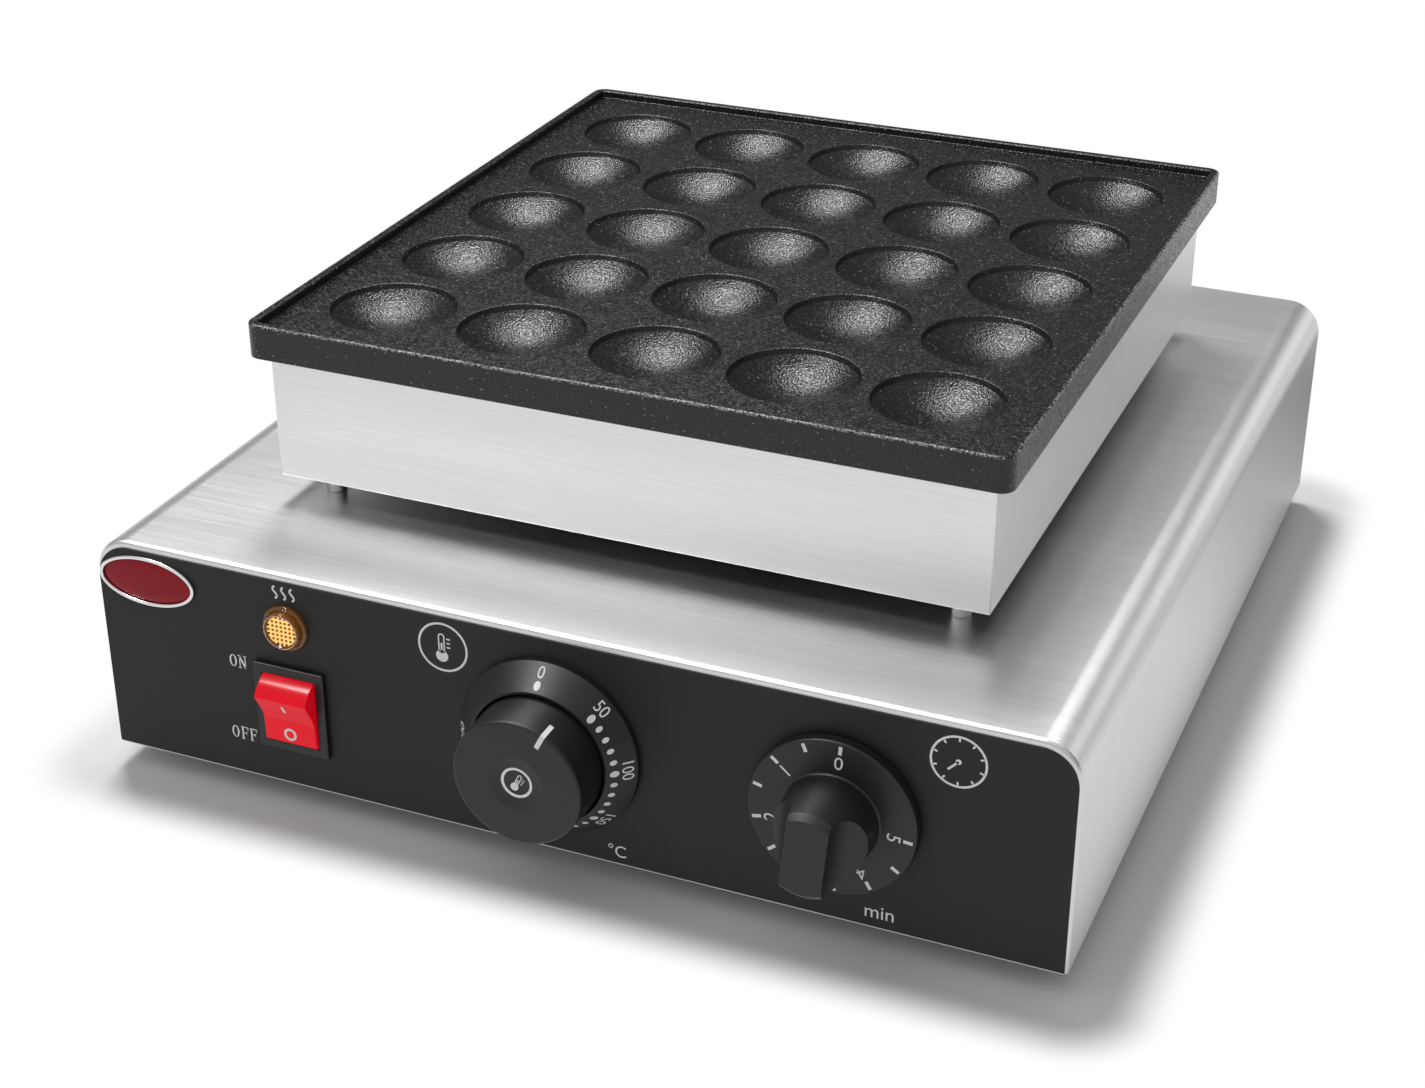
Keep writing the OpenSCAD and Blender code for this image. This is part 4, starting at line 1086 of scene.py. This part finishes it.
dial_axis = middle_of("temperature_ring")
ring_low, ring_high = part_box("temperature_ring")
ring_r = (ring_high.x - ring_low.x) / 2 / MM
ring_thick = (face_y - ring_low.y) / MM
ring_corners = [
    (RING_HOLE_R, 0, 0),
    (ring_r, 0, 0),
    (ring_r, RING_EDGE, 0.5),
    (RING_FRONT_R, ring_thick, 0.4),
    (RING_HOLE_R, ring_thick, 0.3),
]
ring = turned(rounded(ring_corners, 4), 128, closed=True)
place(ring, on_panel(dial_axis.x, dial_axis.z))
hand_over(ring, "scale_ring", "base", "knob_black", "temperature_ring")

knob_low, knob_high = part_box("temperature_knob")
knob_top = (face_y - knob_low.y) / MM
knob_gap = (face_y - knob_high.y) / MM
knob_corners = []
for step in range(RECESS_STEPS):
    share = step / RECESS_STEPS
    knob_corners.append((RECESS_R * share, knob_top - RECESS_DEEP * (1 - share ** 2), 0))
inner_r = KNOB_FACE_R - KNOB_WALL
skin_back = knob_top - KNOB_SKIN
knob_corners += [
    (RECESS_R, knob_top, 0.3),
    (KNOB_FACE_R, knob_top, KNOB_ROUND),
    (KNOB_ROOT_R, knob_gap, 0.3),
    (inner_r, knob_gap, 0),
    (inner_r, skin_back, 1),
    (HUB_R, skin_back, 0.5),
    (HUB_R, HUB_START, 0),
    (SHAFT_R, HUB_START, 0),
    (SHAFT_R, skin_back, 0),
    (0, skin_back, 0),
]
knob = turned(rounded(knob_corners), 128)
knob_place = on_panel(dial_axis.x, dial_axis.z, turn=POINTER_TURN)
place(knob, knob_place)
hand_over(knob, "heat_knob", "temperature_control", "knob_black", "temperature_knob")

# %% [markdown]
# The timer knob is a flat dial with a bar grip. Its round body is turned in one go with the dial, and two
# big cylinders scoop the finger hollows out of it, so the bar grows out of the round.

# %% Timer knob
DIAL_R = 27.5
DIAL_THICK = 3.8
DIAL_HOLLOW_R = 23
DIAL_HOLLOW = 2.2
GRIP_ROOT_R = 15.5
GRIP_FACE_R = 15
GRIP_CHAMFER = 1.8
GRIP_BORE = 16
BAR_WIDE = 13.5
SCOOP_R = 16
SCOOP_HALF = 30
DIAL_TURN = 5.5

timer_axis = middle_of("timer_knob")
timer_low, timer_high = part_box("timer_knob")
grip_top = (face_y - timer_low.y) / MM
dial_gap = (face_y - timer_high.y) / MM
dial_top = dial_gap + DIAL_THICK
timer_corners = [
    (0, grip_top, 0),
    (GRIP_FACE_R - GRIP_CHAMFER, grip_top, 0.4),
    (GRIP_FACE_R, grip_top - GRIP_CHAMFER, 0.6),
    (GRIP_ROOT_R, dial_top, 0.8),
    (DIAL_R, dial_top, 0.7),
    (DIAL_R, dial_gap, 0.4),
    (DIAL_HOLLOW_R, dial_gap, 0),
    (DIAL_HOLLOW_R, dial_gap + DIAL_HOLLOW, 0),
    (SHAFT_R, dial_gap + DIAL_HOLLOW, 0),
    (SHAFT_R, GRIP_BORE, 0),
    (0, GRIP_BORE, 0),
]
timer = turned(rounded(timer_corners), 128)
scoop = rod(SCOOP_R, -SCOOP_HALF, SCOOP_HALF, 96)
scoop_x = (BAR_WIDE / 2 + SCOOP_R) * MM
scoop_places = []
for side in (-1, 1):
    spot = Matrix.Translation((side * scoop_x, 0, grip_top * MM))
    scoop_places.append(spot @ Matrix.Rotation(math.radians(90), 4, "X"))
combine(timer, copies(scoop, scoop_places), "DIFFERENCE")
soften(timer, 0.5, 3, 35)
timer_place = on_panel(timer_axis.x, timer_axis.z, turn=DIAL_TURN)
place(timer, timer_place)
hand_over(timer, "timer_dial", "timer_control", "knob_black", "timer_knob")

# %% [markdown]
# The badge is a plain oval that stays bare: a silver rim round a domed red inlay. Scaling a ring to an oval
# would make the rim wider at its ends, so the oval comes first, and an inset then gives a rim of even
# width.

# %% Badge
BADGE_RIM = 1.3
INLAY_R = 10
INLAY_GAP = 0.02

badge_low, badge_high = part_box("badge_rim")
badge_middle = (badge_low + badge_high) / 2
badge_half = (badge_high - badge_low) / 2
badge_thick = (face_y - badge_low.y) / MM
bpy.ops.object.select_all(action="DESELECT")
bpy.ops.mesh.primitive_circle_add(vertices=96, radius=1, fill_type="NGON")
rim = bpy.context.object
rim.scale = (badge_half.x, badge_half.z, 1)
bpy.ops.object.transform_apply(scale=True)
edit(rim)
bpy.ops.mesh.select_all(action="SELECT")
bpy.ops.mesh.inset(thickness=BADGE_RIM * MM)
bpy.ops.mesh.delete(type="FACE")
leave()
modify(rim, "SOLIDIFY", thickness=badge_thick * MM, offset=1)
soften(rim, 0.45, 4)
place(rim, on_panel(badge_middle.x, badge_middle.z))
hand_over(rim, "oval_rim", "base", "badge_silver", "badge_rim")

inlay_thick = (face_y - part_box("badge_inlay")[0].y) / MM
inlay_profile = [
    (0, inlay_thick),
    (6, inlay_thick - 0.08),
    (9.2, inlay_thick - 0.3),
    (INLAY_R, 0),
    (0, 0),
]
inlay = turned(inlay_profile, 96)
wide = (badge_half.x / MM - BADGE_RIM - INLAY_GAP) / INLAY_R
tall = (badge_half.z / MM - BADGE_RIM - INLAY_GAP) / INLAY_R
place(inlay, on_panel(badge_middle.x, badge_middle.z) @ Matrix.Diagonal((wide, tall, 1, 1)))
hand_over(inlay, "oval_inlay", "base", "badge_red", "badge_inlay", angle=60)

# %% [markdown]
# The white print is thin paint. Flat marks are made from rings, dots, bars and figures, joined, and given a
# thickness of a few hundredths of a millimetre, so that each print is one real piece on the body that
# carries it.

# %% Marks
PAINT = 0.07


def ring_mark(radius, line, at=(0, 0)):
    """A flat ring; line is its width."""
    bpy.ops.object.select_all(action="DESELECT")
    spot = (at[0] * MM, at[1] * MM, 0)
    bpy.ops.mesh.primitive_circle_add(vertices=64, radius=radius * MM, fill_type="NGON", location=spot)
    bpy.ops.object.transform_apply(location=True)
    mark = bpy.context.object
    edit(mark)
    bpy.ops.mesh.select_all(action="SELECT")
    bpy.ops.mesh.inset(thickness=line * MM)
    bpy.ops.mesh.delete(type="FACE")
    leave()
    return mark


def dot_mark(radius, at=(0, 0)):
    """A flat round dot."""
    bpy.ops.object.select_all(action="DESELECT")
    spot = (at[0] * MM, at[1] * MM, 0)
    bpy.ops.mesh.primitive_circle_add(vertices=32, radius=radius * MM, fill_type="NGON", location=spot)
    bpy.ops.object.transform_apply(location=True)
    return bpy.context.object


def bar_mark(start, end, wide):
    """A flat bar between two points."""
    a = Vector(start)
    b = Vector(end)
    side = (b - a).normalized().orthogonal() * wide / 2
    drawn([(*(a - side), 0), (*(b - side), 0), (*(b + side), 0), (*(a + side), 0)])
    bpy.ops.mesh.select_all(action="SELECT")
    bpy.ops.mesh.edge_face_add()
    leave()
    return bpy.context.object


def oval_mark(outer, inner, at=(0, 0)):
    """A letter O: two ovals, given by their half sizes, bridged."""
    rims = []
    for half in (outer, inner):
        bpy.ops.object.select_all(action="DESELECT")
        bpy.ops.mesh.primitive_circle_add(vertices=48, radius=MM)
        rims.append(place(bpy.context.object, Matrix.Diagonal((half[0], half[1], 1, 1))))
    mark = joined(rims)
    edit(mark)
    bpy.ops.mesh.select_all(action="SELECT")
    bpy.ops.mesh.bridge_edge_loops()
    leave()
    return place(mark, Matrix.Translation((at[0] * MM, at[1] * MM, 0)))


def figure_mark(words, tall, at=(0, 0), turn=0.0, stretch=1.0):
    """Figures or letters of a given height, centred on a point, turned clockwise and stretched sideways."""
    bpy.ops.object.select_all(action="DESELECT")
    bpy.ops.object.text_add()
    bpy.context.object.data.body = words
    bpy.ops.object.convert(target="MESH")
    mark = bpy.context.object
    low = Vector([min(vertex.co[axis] for vertex in mark.data.vertices) for axis in range(3)])
    high = Vector([max(vertex.co[axis] for vertex in mark.data.vertices) for axis in range(3)])
    size = tall * MM / (high.y - low.y)
    spot = Matrix.Translation((at[0] * MM, at[1] * MM, 0)) @ Matrix.Rotation(-math.radians(turn), 4, "Z")
    sized = Matrix.Diagonal((size * stretch, size, size, 1))
    return place(mark, spot @ sized @ Matrix.Translation(-(low + high) / 2))


def round_point(radius, turn):
    """A point on a circle; turn is clockwise from the top, in degrees."""
    angle = math.radians(turn)
    return (radius * math.sin(angle), radius * math.cos(angle))


def print_on(marks, name, body, matrix, surface=None):
    """Joins marks to one print, lays it on its place or presses it on a curved surface, and thickens it."""
    paint = place(joined(marks), matrix)
    if surface:
        modify(paint, "SHRINKWRAP", target=surface, wrap_method="PROJECT", use_project_y=True)
    edit(paint)
    bpy.ops.mesh.select_all(action="SELECT")
    bpy.ops.mesh.normals_make_consistent(inside=False)
    leave()
    modify(paint, "SOLIDIFY", thickness=PAINT * MM, offset=0)
    hand_over(paint, name, body, "print_white")


print("marks ready")

# %% [markdown]
# The temperature scale: 45 degrees for each 50, large dots with figures at the fifties and four small dots
# between. The marks start flat in front of the ring. A Shrinkwrap that projects along Y then presses them
# on its cone.

# %% Temperature scale
SCALE_R = 26
FIGURES_R = 29.1
FIGURE_TALL = 2.75
FIGURE_STRETCH = 1.3
LARGE_DOT = 1.1
SMALL_DOT = 0.85
STEP_TURN = 45
STEP_HEAT = 50
SCALE_STEPS = 6
FINE_STEPS = 5
BEFORE = 1 * MM

marks = []
for index in range(SCALE_STEPS + 1):
    turn = index * STEP_TURN
    marks.append(dot_mark(LARGE_DOT, round_point(SCALE_R, turn)))
    figure = str(index * STEP_HEAT)
    marks.append(figure_mark(figure, FIGURE_TALL, round_point(FIGURES_R, turn), turn, FIGURE_STRETCH))
    if 0 < index < SCALE_STEPS:
        for fine in range(1, FINE_STEPS):
            marks.append(dot_mark(SMALL_DOT, round_point(SCALE_R, turn + fine * STEP_TURN / FINE_STEPS)))
print_on(marks, "temperature_scale", "base", on_panel(dial_axis.x, dial_axis.z, ring_low.y - BEFORE), ring)


def thermometer(size, at=(0, 0)):
    """A plain thermometer: an outlined stem, a full bulb, a column and three ticks."""
    x, y = at
    made = [dot_mark(2.3 * size, (x, y - 3.4 * size))]
    stem = [(-1.25, -2.0, 0), (1.25, -2.0, 0), (1.25, 5.2, 1.2), (-1.25, 5.2, 1.2)]
    drawn([(x + point.x * size, y + point.y * size, 0) for point in rounded(stem)])
    bpy.ops.mesh.select_all(action="SELECT")
    bpy.ops.mesh.edge_face_add()
    bpy.ops.mesh.inset(thickness=0.5 * size * MM)
    bpy.ops.mesh.delete(type="FACE")
    leave()
    made.append(bpy.context.object)
    made.append(bar_mark((x, y - 2.5 * size), (x, y + 1.6 * size), 0.7 * size))
    for level in (0.2, 1.8, 3.4):
        height = y + level * size
        made.append(bar_mark((x + 1.9 * size, height), (x + 3.3 * size, height), 0.5 * size))
    return made


knob_marks = [ring_mark(5.4, 0.9)] + thermometer(0.6)
before_knob = knob_place @ Matrix.Translation((0, 0, knob_top * MM + BEFORE))
print_on(knob_marks, "knob_mark", "temperature_control", before_knob, knob)

# %% [markdown]
# The pointer is a white stroke that runs over the knob's rounded edge and down its side. A flat mark would
# stand off at the edge, so its line is drawn along the knob's own profile, extruded to its width and
# thickened.

# %% Pointer
POINTER_WIDE = 1.6
POINTER_START = 16.8
POINTER_DROP = 6.5

side_slope = (KNOB_ROOT_R - KNOB_FACE_R) / (knob_top - knob_gap)
drop_r = KNOB_FACE_R + side_slope * POINTER_DROP
pointer_corners = [
    (POINTER_START, knob_top, 0),
    (KNOB_FACE_R, knob_top, KNOB_ROUND),
    (drop_r, knob_top - POINTER_DROP, 0),
]
pointer_path = rounded(pointer_corners)
drawn([(-POINTER_WIDE / 2, p.x, p.y) for p in pointer_path])
bpy.ops.mesh.select_all(action="SELECT")
raise_by((POINTER_WIDE, 0, 0))
bpy.ops.mesh.select_all(action="SELECT")
bpy.ops.mesh.normals_make_consistent(inside=False)
leave()
pointer = bpy.context.object
modify(pointer, "SOLIDIFY", thickness=2 * PAINT * MM, offset=0)
place(pointer, knob_place)
hand_over(pointer, "knob_pointer", "temperature_control", "print_white", angle=50)

# %% [markdown]
# The timer's scale turns with its dial: ticks every half minute, figures for the whole minutes,
# counter-clockwise. The dial is flat, so the marks are laid straight on it.

# %% Timer scale
MINUTE_TURN = 54
TICK_R = 26.3
TICK_LONG = 3.0
TICK_WIDE = 1.15
MINUTE_R = 20.2
MINUTE_TALL = 4.4
MINUTES = 5

marks = []
for half in range(2 * MINUTES + 1):
    turn = -half * MINUTE_TURN / 2
    marks.append(bar_mark(round_point(TICK_R - TICK_LONG, turn), round_point(TICK_R, turn), TICK_WIDE))
for minute in range(MINUTES + 1):
    turn = -minute * MINUTE_TURN
    marks.append(figure_mark(str(minute), MINUTE_TALL, round_point(MINUTE_R, turn), turn))
print_on(marks, "timer_scale", "timer_control", timer_place @ Matrix.Translation((0, 0, dial_top * MM)))

# %% [markdown]
# Panel print: ON and OFF at the switch, a heat sign above the lamp, a thermometer and a clock beside the
# dials, and the units below them. The signs are plain ones. Blender's own font has no serifs, so the
# letters at the switch are put together from bars and ovals.

# %% Panel print
LINE = 0.75
ON_Z = 52.4
OFF_Z = 24.1
WAVE_Z = 82.4
WAVE_APART = 3.2
THERMOMETER_AT = (-38.8, 75.6)
CLOCK_AT = (132.7, 75.5)
LETTER = 4.6
BOLD = 0.66
THIN = 0.36


def wave(x, y, tall):
    """A rising wave of warm air."""
    points = []
    for step in range(9):
        share = step / 8
        points.append((x + 0.75 * math.sin(share * math.tau), y + tall * (share - 0.5)))
    return [bar_mark(a, b, LINE) for a, b in zip(points, points[1:])]


def clock(x, y, radius):
    """A clock face with ticks, a hub and one hand."""
    made = [ring_mark(radius, LINE, (x, y)), dot_mark(0.9, (x, y))]
    for tick in range(10):
        a = round_point(radius - 0.6, tick * 36)
        b = round_point(radius - 2.0, tick * 36)
        made.append(bar_mark((x + b[0], y + b[1]), (x + a[0], y + a[1]), 0.6))
    hand = round_point(4.6, 225)
    made.append(bar_mark((x, y), (x + hand[0], y + hand[1]), 0.7))
    return made


def letter_o(x, y):
    """An oval that is bold at its sides."""
    return [oval_mark((1.4, LETTER / 2), (0.78, LETTER / 2 - 0.28), (x, y))]


def letter_n(x, y):
    """Two thin stems, a bold diagonal and three serifs."""
    top = y + LETTER / 2
    low = y - LETTER / 2
    made = [bar_mark((x + side, low), (x + side, top), THIN) for side in (-1.05, 1.05)]
    made.append(bar_mark((x - 1.1, top), (x + 1.1, low), BOLD))
    for side, level in ((-1.15, top), (-1.05, low), (1.05, top)):
        made.append(bar_mark((x + side - 0.55, level), (x + side + 0.55, level), THIN))
    return made


def letter_f(x, y):
    """A bold stem, two thin arms with a short tip each, and a serif below."""
    top = y + LETTER / 2
    low = y - LETTER / 2
    made = [bar_mark((x - 0.75, low), (x - 0.75, top), BOLD)]
    made.append(bar_mark((x - 1.4, top), (x + 1.35, top), THIN))
    made.append(bar_mark((x - 0.75, y + 0.1), (x + 0.7, y + 0.1), THIN))
    made.append(bar_mark((x - 1.4, low), (x - 0.1, low), THIN))
    made.append(bar_mark((x + 1.25, top), (x + 1.25, top - 1.1), THIN))
    made.append(bar_mark((x + 0.65, y + 0.6), (x + 0.65, y - 0.4), THIN))
    return made


marks = letter_o(-119.1, ON_Z) + letter_n(-115.5, ON_Z)
marks += letter_o(-121.0, OFF_Z) + letter_f(-117.4, OFF_Z) + letter_f(-114.0, OFF_Z)
for index in (-1, 0, 1):
    marks += wave(lamp_middle.x / MM + WAVE_APART * index, WAVE_Z, 4.6)
marks.append(ring_mark(8.9, LINE, THERMOMETER_AT))
marks += thermometer(0.95, (THERMOMETER_AT[0] - 0.4, THERMOMETER_AT[1]))
marks += clock(*CLOCK_AT, 9.0)
marks.append(figure_mark("°C", 4.6, (21, 13.5)))
marks.append(figure_mark("min", 4.4, (110, 14.4)))
print_on(marks, "panel_print", "base", on_panel(0, 0))

# %% [markdown]
# The rocker carries a line on its ON side and a circle on its OFF side. They move with it, so each is a
# print of its own on the rocker's body, and it leans with the slope that it lies on.

# %% Rocker marks
MARK_LIFT = 0.02


def print_on_rocker(mark, name, u):
    """Lays a mark on the rocker's slope; u is its distance from the dip, positive towards ON."""
    spot = Matrix.Translation((0, u * MM, (DIP + SLOPE * abs(u) + MARK_LIFT) * MM))
    slope = Matrix.Rotation(math.copysign(math.atan(SLOPE), u), 4, "X")
    print_on([mark], name, "rocker_body", rocker_place @ (spot @ slope))


print_on_rocker(bar_mark((0, -1.8), (0, 1.8), 1.0), "rocker_line", 5.4)
print_on_rocker(ring_mark(2.4, 0.9), "rocker_circle", -6.2)

# %% [markdown]
# A pale floor keeps the soft shadow of the object. Lamps near the object can't light a floor evenly out to
# the edge of the picture, so the floor turns plain white to the camera a little way outside the base's
# footprint. Steel mirrors it white too, from closer by. Behind the object the mirrored floor is dusky,
# which shades the base's side as in a studio that is dark at its back.

# %% Floor
FLOOR_SIZE = 24
SHADOW_ROOM = 0.012
WHITE_FROM = 0.034
MIRROR_WHITE = 0.025
DUSK_FROM = 0.05
DUSK_TO = 0.3
DUSK_END = 0.3
DUSK = 0.3
RAYS = ("Is Camera Ray", "Is Glossy Ray", "Is Transmission Ray")

bpy.ops.object.select_all(action="DESELECT")
bpy.ops.mesh.primitive_plane_add(size=FLOOR_SIZE)
floor = bpy.context.object
floor.name = "floor"
paint = Finish("floor_paint", Roughness=0.7)
paint.colour(paint.blend(paint.noise(900), grey(0.66), grey(0.69)))
here = paint.node("ShaderNodeTexCoord", output="Object")
across = paint.node("ShaderNodeSeparateXYZ", None, {0: here}, output="X")
along = paint.node("ShaderNodeSeparateXYZ", None, {0: here}, output="Y")
beside = across.math("MAXIMUM", across.past(shell_low.x, shell_high.x), 0.0)
before = along.math("MAXIMUM", along.past(shell_low.y, shell_high.y), 0.0)
away = beside.math("SQRT", beside * beside + before * before)
fade = {"Value": away, "From Min": SHADOW_ROOM, "From Max": WHITE_FROM}
far = paint.node("ShaderNodeMapRange", {"interpolation_type": "SMOOTHSTEP"}, fade)
close = paint.node("ShaderNodeMapRange", None, {"Value": away, "From Max": MIRROR_WHITE})
dusk = paint.node("ShaderNodeMapRange", None, {"Value": along, "From Min": DUSK_TO, "From Max": DUSK_FROM})
dusk_span = {"Value": away, "From Min": DUSK_END / 2, "From Max": DUSK_END}
dusk += paint.node("ShaderNodeMapRange", None, dusk_span)
seen, mirrored, through = [paint.node("ShaderNodeLightPath", output=ray) for ray in RAYS]
white = paint.node("ShaderNodeEmission", None, {"Color": paint.blend(dusk + seen, grey(DUSK), grey(1))})
lit = Wire(paint.shader.outputs[0])
share = far * (seen + through) + close * mirrored
mixed = paint.node("ShaderNodeMixShader", None, {0: share, 1: lit, 2: white})
join(mixed, paint.tree.nodes["Material Output"].inputs["Surface"])
floor.data.materials.append(paint.material)
print("floor", FLOOR_SIZE, "m wide")
